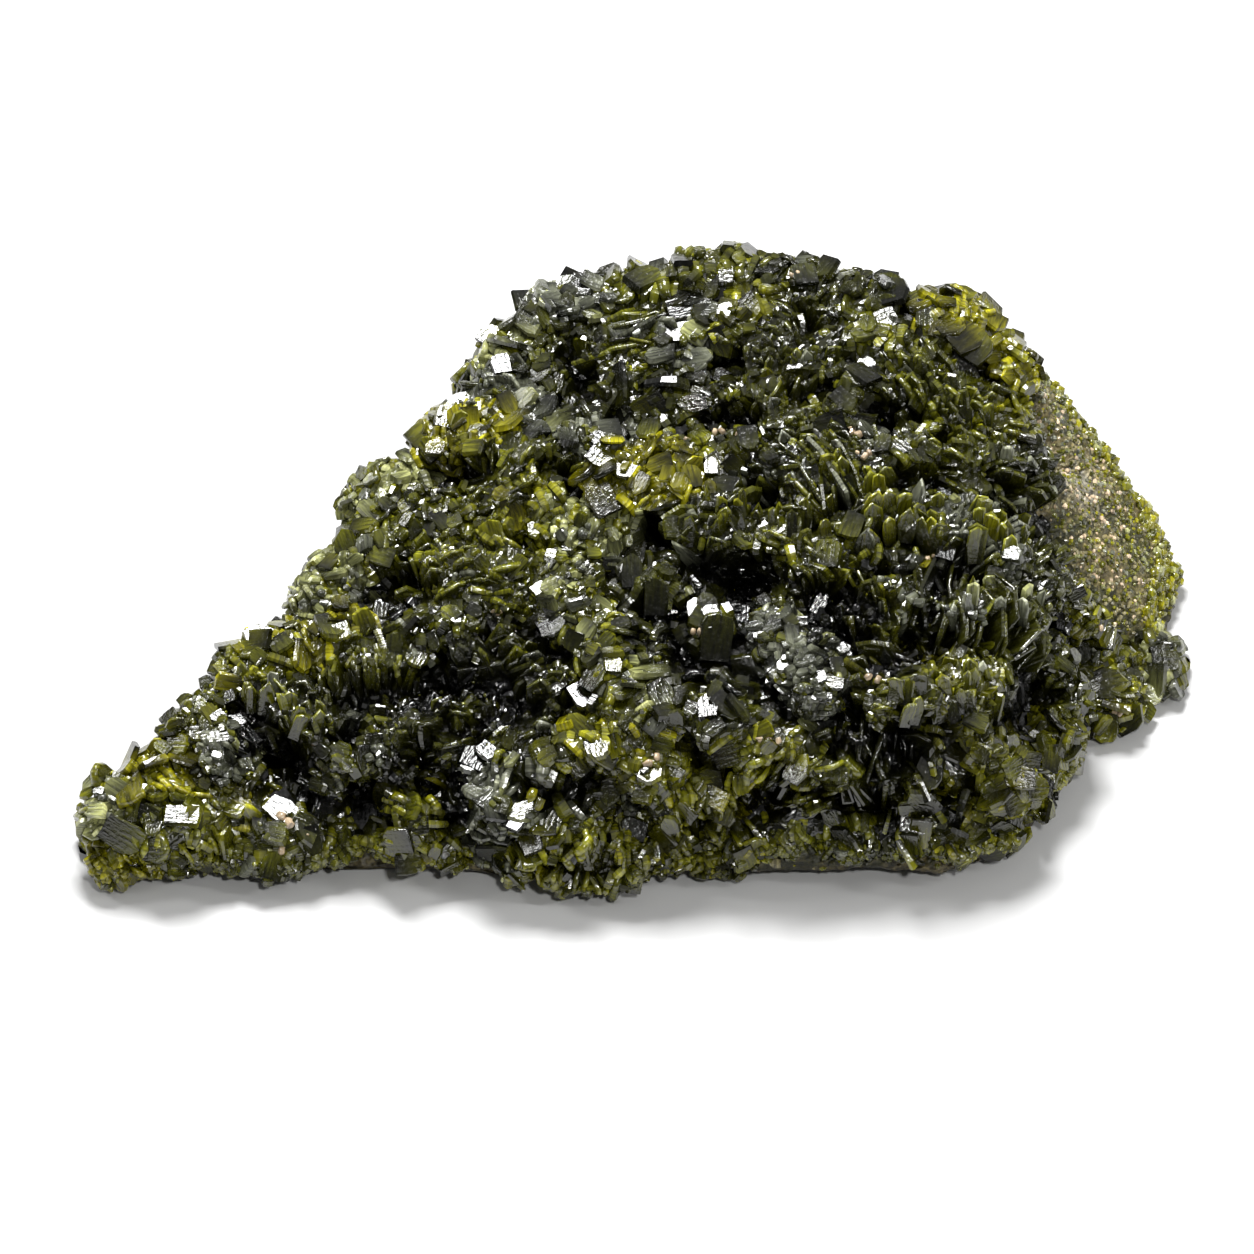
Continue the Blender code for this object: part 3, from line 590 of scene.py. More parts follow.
def blade(pile, root, up, side, face, reach, width, thick, shape_name, tone, rng,
          dish=0.0, bend=0.0, shade=1.0, finishes=FINISH_SHARES, calm=1.0):
    """One crystal: a lens-shaped plate with wide bevels, with painted shade at its root and a painted
    glow at its rim.
    """
    shape = np.array(OUTLINES[shape_name])
    if rng.random() < 0.5:
        shape = shape[::-1] * np.array((-1.0, 1.0))
    shape[1:-1] += np.array([(rng.uniform(-0.06, 0.06), rng.uniform(-0.05, 0.05)) for _ in range(5)])
    shape[1:-1, 1] += shape[1:-1, 0] * rng.uniform(-0.12, 0.12)
    bevel = min(0.30 * width, rng.uniform(0.08, 0.22))
    middle = np.array((rng.uniform(-0.08, 0.08), 0.60))
    scale = np.array((1.0 - 2.0 * bevel / width, 1.0 - bevel / (0.40 * reach)))
    inner = middle + (shape - middle) * scale
    inner[0, 1] = inner[-1, 1] = 0.0
    rings = []
    for flat, offset in ((inner, 0.5), (shape, rng.uniform(-0.15, 0.15)), (inner, -0.5)):
        across, along = flat[:, 0] * width, flat[:, 1]
        out = offset * thick * (0.65 + 0.35 * along)
        out = out + dish * (2.0 * flat[:, 0]) ** 2 * width * 0.2 + bend * along**2 * reach
        rings.append(root + np.outer(along * reach, up) + np.outer(across, side) + np.outer(out, face))
    points = np.concatenate(rings)
    points[:, 2] = np.maximum(points[:, 2], LOWEST_CRYSTAL)
    if out_of_box(points) or (points[:, 0] < left_limit(points)).any():
        return None
    body, rim, rim_glow_of_tone = TONES[tone]
    # Painted glow: translucent tones are painted lighter in the shade, standing for light passing
    # through them
    if tone in ("yellow", "green", "pale"):
        shade = shade + (1.0 - min(1.0, shade)) * (GLOW if tone == "yellow" else GLOW * 0.35)
    # Tone that differs at random, times the painted shade and glow
    light = math.exp(rng.gauss(0.0, 0.28)) * shade
    height = np.concatenate((inner[:, 1], shape[:, 1], inner[:, 1]))
    # Painted shade: darker towards the root, down among the other blades
    depth_light = np.clip((height * reach - reach + 2.6) / 2.2, 0.08, 1.0)
    # Painted glow: the thin rim is painted lighter, standing for light passing through the thin edge
    rim_glow_share = np.repeat((0.12, rim_glow_of_tone * rng.uniform(0.5, 1.4), 0.12), len(shape))
    rim_glow_share = rim_glow_share * np.clip((height - 0.45) / 0.4, 0.0, 1.0)
    colours = mixed(body, rim, np.clip(rim_glow_share, 0.0, 1.0)) * (depth_light * light)[:, None]
    across = np.concatenate((inner[:, 0], shape[:, 0], inner[:, 0])) * width
    number = np.full(len(points), rng.uniform(0.0, 100.0))
    grain = np.column_stack((across * calm, height * reach * calm, number))
    finish = rng.choices((ROUND_RIM, ROUNDED, SHARP), finishes)[0]
    pile.add(points, PRISM_FACES, colours, grain, finish)
    return points


def bead(pile, centre, radius, tone, rng, rounded=True):
    """A small crystal, rounded or angular."""
    stretch = np.array([rng.uniform(0.7, 1.3) for _ in range(3)])
    uneven = np.array([rng.uniform(0.82, 1.15) for _ in BEAD_POINTS])
    points = centre + BEAD_POINTS * uneven[:, None] * radius * stretch
    if points[:, 2].min() < LOWEST_CRYSTAL:
        return
    if out_of_box(points):
        return
    body, rim, _ = TONES[tone]
    colours = mixed(body, rim, np.full(len(points), rng.uniform(0.1, 0.9)))
    grain = points + rng.uniform(0, 50)
    pile.add(points, BEAD_FACES, colours, grain, np.full(len(BEAD_FACES[1]), rounded))


def knob_on(beads, points, share, sizes, tone, rng):
    """On this share of the crystals a knob, on the rim of the one that has these points."""
    if points is not None and rng.random() < share:
        bead(beads, points[RING + rng.randrange(1, RING - 1)], rng.uniform(*sizes), tone, rng)


def pile_at(piles, x):
    return piles[0] if x < SPLIT_X else piles[1]


def plant(piles, x, foot, up, face, *sizes, **looks):
    """A blade from vectors, in the pile for this place; gives its points."""
    foot, up, side, face = (np.array(v) for v in (foot, up, up.cross(face), face))
    return blade(pile_at(piles, x), foot, up, side, face, *sizes, **looks)


def pick_tone(mix, rng):
    tones = MIXES[mix]
    return rng.choices(list(tones), list(tones.values()))[0]


class Sheaf:
    """Where a stack of blades fans out from: its root line, its opening and its three directions."""

    def __init__(self, centre, normal, stack, length, width, kind, mix):
        self.centre, self.kind, self.mix, self.length, self.width = centre, kind, mix, length, width
        stack = square_to(stack, normal)
        self.normal, self.stack = normal, stack
        self.root = centre - normal * ROOT_DEPTH
        self.n, self.s, self.a = np.array(normal), np.array(stack), np.array(normal.cross(stack))
        self.opening = min(FAN, math.asin(min(1.0, length / 2 / BLADE_REACH)))
        self.travel = length / 2 - BLADE_REACH * math.sin(self.opening)

    def up(self, share, middle):
        """Direction of a blade at this share of the stack, -1 to 1, and this side of its width."""
        angle = self.opening * share
        way = self.n * math.cos(angle) + self.s * math.sin(angle) + self.a * middle * SIDE_LEAN
        return way / np.linalg.norm(way)

    def foot(self, share, middle):
        spread = self.width * (1.0 - FOOT_NARROWING * share * share)
        along = self.s * self.travel * share
        return np.array(self.root) + along + self.a * middle * spread * FOOT_SPREAD

    def form(self):
        """Points and faces of the lump that its blades fill, closed below at their roots."""
        points, faces = [], []
        for reach in (1.0, BLADE_REACH + FORM_RISE):
            for i in range(FORM_STEPS):
                for j in range(FORM_STEPS):
                    share, middle = (2.0 * k / (FORM_STEPS - 1) - 1.0 for k in (i, j))
                    arched = reach * (1.0 - 0.22 * middle * middle)
                    points.append(self.foot(share, middle * 0.8) + self.up(share, middle) * arched)
        layer = FORM_STEPS * FORM_STEPS

        def at(i, j, level):
            return i * FORM_STEPS + j + level * layer

        last = FORM_STEPS - 1
        for i in range(last):
            for j in range(last):
                faces.append((at(i, j, 1), at(i + 1, j, 1), at(i + 1, j + 1, 1), at(i, j + 1, 1)))
                faces.append((at(i, j + 1, 0), at(i + 1, j + 1, 0), at(i + 1, j, 0), at(i, j, 0)))
            for j, k, m, n in ((0, 0, i, i + 1), (last, last, i + 1, i)):
                faces.append((at(m, j, 0), at(n, k, 0), at(n, k, 1), at(m, j, 1)))
                faces.append((at(j, m, 0), at(j, m, 1), at(k, n, 1), at(k, n, 0)))
        return points, faces


def fan(piles, beads, sheaf, rng):
    """The ordered blades of one sheaf, thin and close together."""
    kind = KINDS[sheaf.kind]
    run = 2 * BLADE_REACH * sheaf.opening + 2 * sheaf.travel
    layers = max(3, round(run / kind["pitch"]))
    dish, lean, twist = (rng.uniform(-most, most) for most in (1.0, 0.10, 0.25))
    start = rng.uniform(0.0, 50.0)
    if sheaf.kind == "comb":
        skew = rng.uniform(-0.2, 0.2)
    else:
        skew = rng.choice((-1.0, 1.0)) * rng.uniform(0.75, 1.25)
    across = sheaf.s * math.sin(-skew) + sheaf.a * math.cos(skew)
    facing = sheaf.s * math.cos(skew) + sheaf.a * math.sin(skew)
    for layer in range(layers):
        share = (layer + 0.5 + rng.uniform(-0.3, 0.3)) / layers * 2.0 - 1.0
        parts = rng.choice(kind["parts"])
        cuts = sorted(-1.0 + 2.0 * (i + rng.uniform(-0.3, 0.3)) / parts for i in range(1, parts))
        drift = rng.uniform(-0.3, 0.3)
        for left, right in zip([-1.0] + cuts, cuts + [1.0]):
            middle = (left + right) / 2
            unsteady = np.array([rng.gauss(0.0, 0.06) for _ in range(3)])
            up = sheaf.up(share, middle) + sheaf.a * lean + unsteady
            up /= np.linalg.norm(up)
            face = facing + across * (rng.gauss(0.0, 0.24) + middle * 0.12 + twist)
            face -= up * face.dot(up)
            face /= np.linalg.norm(face)
            spread = sheaf.width * (1.0 - FOOT_NARROWING * share * share) * rng.uniform(0.90, 1.05)
            width = (right - left) / 2 * spread * (1.25 if parts > 1 else 1.0)
            step = noise.noise(Vector((start + share * 3.0, middle * 2.0, 0.0)))
            reach = BLADE_REACH * (1.0 - kind["arch"] * middle * middle)
            reach = reach + rng.gauss(0.0, kind["uneven"]) + 0.6 * step
            foot = sheaf.foot(share, middle) + sheaf.a * drift
            thick = kind["thick"] * rng.uniform(0.7, 1.35)
            shape = rng.choice(("leaf", "leaf", "round", "square"))
            tone = pick_tone(sheaf.mix, rng)
            bend = rng.uniform(-0.03, 0.03)
            shade = depth_shade(Vector(foot + up * reach), Vector(up), rng)
            deep = crevice_share((foot + up * reach)[None])[0]
            foot = foot + LOOKING * CREVICE_DEPTH * (1.0 - deep)
            made = blade(pile_at(piles, foot[0]), foot, up, np.cross(up, face), face, reach, width,
                         thick, shape, tone, rng, dish, bend, shade, FAN_FINISHES)
            knob_on(beads, made, KNOB_SHARE, (0.10, 0.22), tone, rng)


def nearest_lump(place):
    return LUMPS[int(np.linalg.norm(LUMP_CENTRES - np.array(place), axis=1).argmin())]


def listed_sheaves():
    """The sheaves of the lists, standing on the mean surface."""
    for x, y, heading, length, width, rise, kind, tone in SHEAVES:
        normal = (surface_normal(x, y) + Vector((0.0, 0.0, 0.35))).normalized()
        centre = Vector((x, y, top(x, y))) + normal * rise
        turn = math.radians(heading)
        stack = Vector((math.cos(turn), math.sin(turn), 0.0))
        yield Sheaf(centre, normal, stack, length * SHEAF_SCALE, width * SHEAF_SCALE, kind, tone)


LUMPS = list(listed_sheaves())
LUMP_CENTRES = np.array([s.centre[:] for s in LUMPS])
LUMP_STACKS = np.array([s.s for s in LUMPS])
LUMP_TONES = np.array([s.mix for s in LUMPS])
LUMP_HALVES = np.array([max(0.0, s.length / 2 - 2.6) for s in LUMPS])
LUMP_SIZES = [(0.8, 1.1) if s.kind == "knob" else (0.95, 1.35) for s in LUMPS]
LUMP_GRAINS = [random.Random(i).uniform(*sizes) for i, sizes in enumerate(LUMP_SIZES)]
CREVICE_LINES = [(half, *line) for half, *places in CREVICES for line in zip(places, places[1:])]
CREVICE_HALVES = np.array([half for half, _, _ in CREVICE_LINES])
CREVICE_STARTS = np.array([start for _, start, _ in CREVICE_LINES]) * (1.0, VIEW_SQUASH)
CREVICE_WAYS = np.array([end for _, _, end in CREVICE_LINES]) * (1.0, VIEW_SQUASH) - CREVICE_STARTS
CREVICE_SQUARES = np.maximum(1e-6, (CREVICE_WAYS ** 2).sum(axis=1))


def lumps_near(points):
    """For each point its nearest lump, and 0 on the seam to the next one, rising to 1 away."""
    offset = points[:, None] - LUMP_CENTRES[None]
    along = np.clip((offset * LUMP_STACKS[None]).sum(axis=2), -LUMP_HALVES, LUMP_HALVES)
    gaps = np.linalg.norm(offset - along[..., None] * LUMP_STACKS[None], axis=2)
    nearest, second = np.argpartition(gaps, 1, axis=1)[:, :2].T
    rows = np.arange(len(points))
    seam = np.clip((gaps[rows, second] - gaps[rows, nearest]) / SEAM_WIDTH, 0.0, 1.0)
    seam = seam * seam * (3.0 - 2.0 * seam)
    alike = LUMP_TONES[nearest] == LUMP_TONES[second]
    seam = np.where(alike, 1.0 - (1.0 - seam) * SAME_TONE_SEAM, seam)
    wander = np.array([noise.noise(Vector(p) * 0.22) for p in points])
    seam = 1.0 - (1.0 - seam) * np.clip(0.75 + 1.4 * wander, 0.15, 1.0)
    edge = np.array([distance(x, y, EDGE) for x, y, _ in points])
    seam = 1.0 - (1.0 - seam) * np.clip(edge / 4.0, 0.25, 1.0)
    return nearest, seam


def crevice_share(points):
    """0 in the deep crevices of the list, as the photo's view meets them, and 1 away from them."""
    share = np.empty(len(points))
    for first in range(0, len(points), CHUNK):
        part = points[first:first + CHUNK]
        seen = np.column_stack((part[:, 0], (part[:, 1] + part[:, 2]) * VIEW_SQUASH))
        from_start = seen[:, None] - CREVICE_STARTS
        along = np.clip((from_start * CREVICE_WAYS).sum(axis=2) / CREVICE_SQUARES, 0.0, 1.0)
        gap = np.linalg.norm(from_start - along[:, :, None] * CREVICE_WAYS, axis=2)
        share[first:first + CHUNK] = np.clip((gap / CREVICE_HALVES - 0.7) / 1.1, 0.0, 1.0).min(axis=1)
    return share


def crust_form():
    """The crust's solid and the full lumps of its sheaves, merged and remeshed evenly."""
    bm = bmesh.new()
    bm.from_mesh(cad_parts["epidote_crystals"].data)
    for lump in LUMPS:
        points, faces = lump.form()
        points = np.clip(points, BOX_LOW + 0.4, BOX_HIGH - 0.4)
        points[:, 2] = np.maximum(points[:, 2], LOWEST_CRYSTAL)
        verts = [bm.verts.new((p + SHIFT) * MM) for p in points]
        for face in faces:
            bm.faces.new([verts[i] for i in face])
    mesh = bpy.data.meshes.new("crystal_bed")
    bm.to_mesh(mesh)
    bm.free()
    return remeshed("crystal_bed", mesh, BED_VOXEL)


class Forms:
    """The crust's form and the rock's solid as search trees, in millimetres on the plate."""

    def __init__(self):
        self.bed = crust_form()
        mesh = self.bed.data
        self.points = vectors_of(mesh.vertices) / MM - SHIFT
        self.faces = [p.vertices[:] for p in mesh.polygons]
        self.normals = vectors_of(mesh.polygons, "normal")
        self.areas = np.empty(len(mesh.polygons))
        mesh.polygons.foreach_get("area", self.areas)
        self.crust_tree = BVHTree.FromPolygons(self.points.tolist(), self.faces)
        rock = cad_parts["matrix_rock"].data
        rock_points = [v.co / MM - Vector(SHIFT) for v in rock.vertices]
        self.rock_tree = BVHTree.FromPolygons(rock_points, [p.vertices[:] for p in rock.polygons])


FORMS = Forms()


def seen_place(x, in_view):
    """Where the photo's view meets the crust's form, and the normal there."""
    start = Vector((x, -RAY_START, in_view + RAY_START))
    return FORMS.crust_tree.ray_cast(start, Vector(LOOKING))[:2]


def depth_shade(place, outward, rng):
    """Painted shade of a crystal, standing for the light that reaches it: 1 on the crowns of the lumps,
    and little in the crevices.
    """
    seam = lumps_near(np.array([place[:]]))[1][0]
    deep = crevice_share(np.array([place[:]]))[0]
    free = 0
    for _ in range(SKY_RAYS):
        way = (shaken(rng, 0.55) + outward).normalized()
        if FORMS.crust_tree.ray_cast(place + way * 0.3, way, SKY_REACH)[0] is None:
            free += 1
    above = place.z - top(place.x, place.y)
    by_height = 1.0
    if inside(place.x, place.y, EDGE) and distance(place.x, place.y, EDGE) > 4.0:
        by_height = 0.12 + 0.88 * smooth((above + 1.8) / 3.0)
    by_sky = from_least(SHADE_DEEP, (free / SKY_RAYS) ** 1.3)
    cloud = 1.0 + 0.7 * noise.noise(place * 0.45)
    return by_sky * by_height * cloud * from_least(SEAM_PAINTED_SHADE, seam) * from_least(CREVICE_PAINTED_SHADE, deep)


def in_plate_row(place):
    """True if the photo's view meets this place in one of the rows of upright plates."""
    return any(distance(place.x, place.y + place.z, line, closed=False) < half * 0.9
               for half, _, _, _, _, *line in PLATE_ROWS)


def plate_rows(piles, rng):
    """Upright plates side by side, as in the photo's long rows, on the crust's form."""
    for half, narrow, wide, length, mix, *line in PLATE_ROWS:
        for (ax, a_view), (bx, b_view) in zip(line, line[1:]):
            run = math.hypot(bx - ax, b_view - a_view)
            for _ in range(int(run * 2 * half * PLATES_PER_AREA)):
                share, offset = rng.random(), rng.uniform(-half, half)
                x = ax + (bx - ax) * share
                place, normal = seen_place(x, a_view + (b_view - a_view) * share + offset)
                if place is None:
                    continue
                up = (normal * 0.15 + Vector((0.0, 0.35, 0.85)) + shaken(rng, 0.14)).normalized()
                face = square_to(Vector((rng.gauss(0.1, 0.36), -0.8, 0.6)), up)
                tall = length * rng.uniform(0.8, 1.15)
                foot = place - up * tall * rng.uniform(0.44, 0.58)
                # Painted light: the upright plates are painted up to 1.6 times lighter than their
                # painted shade
                shade = 1.6 * max(0.6, depth_shade(place + up * 1.0, up, rng))
                shape = rng.choice(("leaf", "round", "round", "square"))
                plant(piles, x, foot, up, face, tall, rng.uniform(narrow, wide),
                      rng.uniform(0.32, 0.55), shape, pick_tone(mix, rng), rng,
                      rng.uniform(-1.0, 1.0), 0.0, shade, FAN_FINISHES)


def scatter_crystals(piles, beads, rng):
    """Small crystals all over the crust's form, standing along its nearest sheaf's blades."""
    sums = np.cumsum(FORMS.areas)
    taken = {}
    for _ in range(SCATTER_TRIES):
        pick = int(np.searchsorted(sums, rng.random() * sums[-1]))
        corners = FORMS.faces[pick]
        shares = [rng.random() for _ in corners]
        place = Vector(sum(FORMS.points[c] * s for c, s in zip(corners, shares)) / sum(shares))
        flat_normal = Vector(FORMS.normals[pick])
        nearest, seam = (w[0] for w in lumps_near(np.array([place[:]])))
        deep = crevice_share(np.array([place[:]]))[0]
        lump, grain = LUMPS[nearest], LUMP_GRAINS[nearest]
        cell = tuple(int(math.floor(w / SCATTER_SPACE)) for w in place)
        near = [q for key in NEIGHBOURS for q in taken.get(tuple(np.add(cell, key)), ())]
        if any((q - place).length < SCATTER_SPACE * min(1.0, grain * 0.8) for q in near):
            continue
        if rng.random() < ROW_CLEARING and in_plate_row(place):
            continue
        _, _, _, to_rock = FORMS.rock_tree.find_nearest(place)
        if place.z < LOWEST_CRYSTAL + 0.3 or to_rock < 0.45:
            continue
        taken.setdefault(cell, []).append(place)
        place = place + flat_normal * SEAM_FILL * (1.0 - seam) * deep
        shade = depth_shade(place, flat_normal, rng)
        place = place + Vector(LOOKING) * CREVICE_DEPTH * (1.0 - deep)
        kind, mix, stack = lump.kind, lump.mix, lump.stack
        along = max(-lump.length / 4, min(lump.length / 4, (place - lump.root).dot(stack)))
        radial = (place - lump.root - stack * along).normalized()
        outward = (flat_normal * 0.35 + radial * 0.9).normalized()
        near_sheaf = (place - lump.centre).length < NEAR_SHEAF
        ordered = "pitch" in KINDS[kind]
        on_crown = near_sheaf and radial.dot(lump.normal) > 0.80
        if ordered and on_crown and rng.random() > CROWN_SHARE:
            continue
        if grain > 1.1 and rng.random() < 0.25:
            continue
        if not near_sheaf and rng.random() < 0.5:
            mix = rng.choice(("dark", "dark", "olive", "olive", "green"))
        tone = pick_tone(mix, rng)
        width = rng.uniform(*KINDS[kind]["wide"]) * grain
        thick = rng.uniform(*KINDS[kind]["deep"]) * grain
        lying = GREY_LYING if mix == "grey" else ORDERED_LYING if ordered else LYING_SHARE
        if rng.random() < lying:
            toward = Vector(GLINT) if mix == "grey" else outward
            face = (toward + shaken(rng, 0.24 if mix == "grey" else 0.42)).normalized()
            up = stack.cross(outward) * rng.choice((-1.0, 1.0)) + shaken(rng, 0.6)
            up = square_to(up, face)
            width *= 0.85
            reach = rng.uniform(0.9, 1.5) * max(width, 0.8)
            foot = place + face * rng.uniform(-0.12, 0.18) - up * reach * 0.55
        else:
            up = (outward + shaken(rng, 0.24)).normalized()
            face = square_to(stack + shaken(rng, 0.35 if near_sheaf else 0.9), up)
            reach = rng.uniform(1.8, 2.8)
            foot = place - up * (reach - rng.uniform(-0.25, 0.32))
        shape = rng.choice(("leaf", "leaf", "round", "square", "gable"))
        made = plant(piles, place.x, foot, up, face, reach, width, thick, shape, tone, rng, shade=shade)
        knob_on(beads, made, KNOB_SHARE, (0.09, 0.18), tone, rng)


def set_spot(piles, look, x, in_view, away, size, rng):
    """One larger crystal, at this distance from its listed place."""
    turn = rng.uniform(0.0, 2.0 * math.pi)
    place, normal = seen_place(x + math.cos(turn) * away, in_view + math.sin(turn) * away)
    if place is None or normal.dot(Vector(LOOKING)) > LEAST_FACING:
        return
    jitter = {"glint": 0.07, "sheen": 0.04}.get(look, 0.40)
    if look in SHINING:
        toward = Vector(GLINT)
    else:
        toward = (normal + Vector((0.0, -0.3, 0.6))).normalized()
    if look == "sheen":
        off = rng.uniform(0.0, 2.0 * math.pi)
        toward += Vector((math.cos(off), math.sin(off), 0.0)) * rng.uniform(0.16, 0.34)
    face = (toward + shaken(rng, jitter)).normalized()
    up = square_to(shaken(rng, 1.0), face)
    width = size * rng.uniform(0.45, 0.72)
    reach = width * rng.uniform(1.0, 1.5)
    thick = size * rng.uniform(0.7, 1.0)
    centre = place + normal * (0.40 + 0.10 * size) - face * thick * 0.30
    tone = SHINING.get(look, look)
    shape = rng.choice(("square", "gable", "leaf", "round"))
    plant(piles, x, centre - up * reach * 0.5, up, face, reach, width, thick, shape, tone, rng,
          shade=0.8, finishes=SPOT_FINISHES, calm=SPOT_CALM)


def set_spots(piles, rng):
    """The larger crystals of the list, on the crust's form where the photo's view meets it."""
    for look, *places in SPOTS:
        for x, in_view, count, size in places:
            for number in range(count + (look in SHINING)):
                set_spot(piles, look, x, in_view, size * 0.75 if number else 0.0, size, rng)


def edge_crystals(piles, beads, rng):
    """Crystals on the rock's side, from the left tip along the front to the right tip."""
    for (ax, ay), (bx, by) in zip(FRONT_LINE, FRONT_LINE[1:]):
        along = Vector((bx - ax, by - ay, 0.0))
        out = Vector((along.y, -along.x, 0.0)).normalized()
        for _ in range(int(along.length * APRON_DENSITY)):
            share = rng.random()
            x, y = ax + along.x * share, ay + along.y * share
            reach_up = rock_top(x - out.x * 1.5, y - out.y * 1.5)
            bare_strip = smooth((x + 38.0) / 3.0) * smooth((-5.0 - x) / 3.0)
            bare_right = smooth((x - 9.0) / 4.0)
            low = 0.9 + 0.9 * bare_strip + 2.4 * bare_right
            z = rng.uniform(low, max(low + 0.6, reach_up + 1.2))
            start = Vector((x, y, z)) + out * 5.0
            hits = [tree.ray_cast(start, -out, 8.0) for tree in (FORMS.rock_tree, FORMS.crust_tree)]
            hits = [hit for hit in hits if hit[0] is not None]
            if not hits:
                continue
            place, normal, _, _ = min(hits, key=lambda hit: hit[3])
            lump = nearest_lump(place)
            tone = pick_tone(lump.mix, rng)
            up = (out * 0.8 + normal * 0.5 + shaken(rng, 0.35)).normalized()
            face = square_to(shaken(rng, 1.0), up)
            width, thick = rng.uniform(0.6, 1.7), rng.uniform(0.5, 0.9)
            reach = rng.uniform(1.6, 2.4)
            foot = place - up * (reach - rng.uniform(0.15, 0.75))
            shade = rng.uniform(0.5, 1.1) * (0.45 + 0.55 * smooth((z - 0.8) / 2.5))
            shape = rng.choice(("leaf", "round", "square"))
            made = plant(piles, x, foot, up, face, reach, width, thick, shape, tone, rng, shade=shade)
            knob_on(beads, made, EDGE_KNOB_SHARE, (0.15, 0.35), tone, rng)


def paint(mesh, colours, grains):
    """Gives the mesh's points their tone, with any painted shade and painted glow in it, and their
    place on the crystal that they belong to.
    """
    tone = mesh.color_attributes.new("tone", "FLOAT_COLOR", "POINT")
    colours = np.hstack((colours, np.ones((len(colours), 1))))
    tone.data.foreach_set("color", colours.astype(np.float32).ravel())
    grain = mesh.attributes.new("grain", "FLOAT_VECTOR", "POINT")
    grain.data.foreach_set("vector", grains.astype(np.float32).ravel())


def finish_bed():
    """The crust's body just under its crystals' tips: its form sunk a little and roughened, with
    painted shade in its colour.
    """
    mesh = FORMS.bed.data
    count = len(mesh.vertices)
    points, normals = FORMS.points.copy(), vectors_of(mesh.vertex_normals, "vector")
    outside = np.clip((normals[:, 2] + 0.5) / 0.4, 0.0, 1.0)
    places = [Vector(p) for p in points]
    rough = np.array([noise.noise(p * 1.3) + 0.6 * noise.noise(p * 2.9) for p in places])
    seam = np.empty(count)
    nearest = np.empty(count, int)
    for start in range(0, count, CHUNK):
        part = slice(start, start + CHUNK)
        nearest[part], seam[part] = lumps_near(points[part])
    deep = crevice_share(points)
    rise = -BED_DEPTH + 0.35 * rough + SEAM_FILL * (1.0 - seam) * deep
    points += normals * (rise * outside)[:, None]
    points += LOOKING * (CREVICE_DEPTH * (1.0 - deep) * outside)[:, None]
    for axis, end in ((0, LEFT_END), (1, FRONT_END)):
        past = np.maximum(0.0, end + 3.0 - points[:, axis])
        points[:, axis] += past * 0.7
    points = np.maximum(points, (LEFT_END, FRONT_END, 0.0))
    points[:, 0] = np.maximum(points[:, 0], left_limit(points))
    points[:, 2] = np.maximum(points[:, 2], LOWEST_CRYSTAL * 0.6)
    mesh.vertices.foreach_set("co", ((points + SHIFT) * MM).ravel())
    bodies = np.array([TONES["olive" if s.mix == "faded" else s.mix][0] for s in LUMPS])
    # Painted shade: the body is darker below the mean surface, in the seams and in the crevices
    above = np.array([z - top(x, y) for x, y, z in points])
    shade = (0.08 + 0.52 * np.clip((above + 1.5) / 3.0, 0.0, 1.0)) * from_least(SEAM_PAINTED_SHADE, seam)
    shade = shade * from_least(CREVICE_PAINTED_SHADE, deep)
    paint(mesh, bodies[nearest] * (shade * (1.0 + 0.5 * rough))[:, None], points * 0.8)
    print(f"crystal_bed: {sum(len(p.vertices) - 2 for p in mesh.polygons)} triangles")
    return FORMS.bed


def rock_mesh():
    """The rock plate: the solid remeshed evenly, grainy all over, with its foot kept flat."""
    obj = remeshed("host_rock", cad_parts["matrix_rock"].data.copy(), ROCK_VOXEL)
    mesh = obj.data
    points, normals = vectors_of(mesh.vertices) / MM - SHIFT, vectors_of(mesh.vertex_normals, "vector")
    colours = np.empty(points.shape)
    for i, (point, normal) in enumerate(zip(points, normals)):
        place = Vector(point)
        gaps, _ = noise.voronoi(place * 1.5)
        fine = noise.noise(place * 3.1)
        coarse = noise.fractal(place * 0.35, 0.9, 2.0, 3)
        foot = smooth((place.z - 0.1) / 1.2)
        front = smooth((-18.0 - place.y) / 4.0) * (1.0 - smooth((place.z - 0.6) / 2.0))
        push = (0.30 * coarse + 0.16 * fine + 0.30 * (0.45 - gaps[0])) * foot - 1.1 * front
        points[i] += normal * push * (1.0, 1.0, foot)
        colours[i] = rock_colour(place, gaps[0])
    points[:, 2] = np.maximum(points[:, 2], 0.0)
    mesh.vertices.foreach_set("co", ((points + SHIFT) * MM).ravel())
    paint(mesh, colours, points * 0.8)
    for polygon in mesh.polygons:
        polygon.use_smooth = False
    print(f"host_rock: {sum(len(p.vertices) - 2 for p in mesh.polygons)} triangles")
    return obj


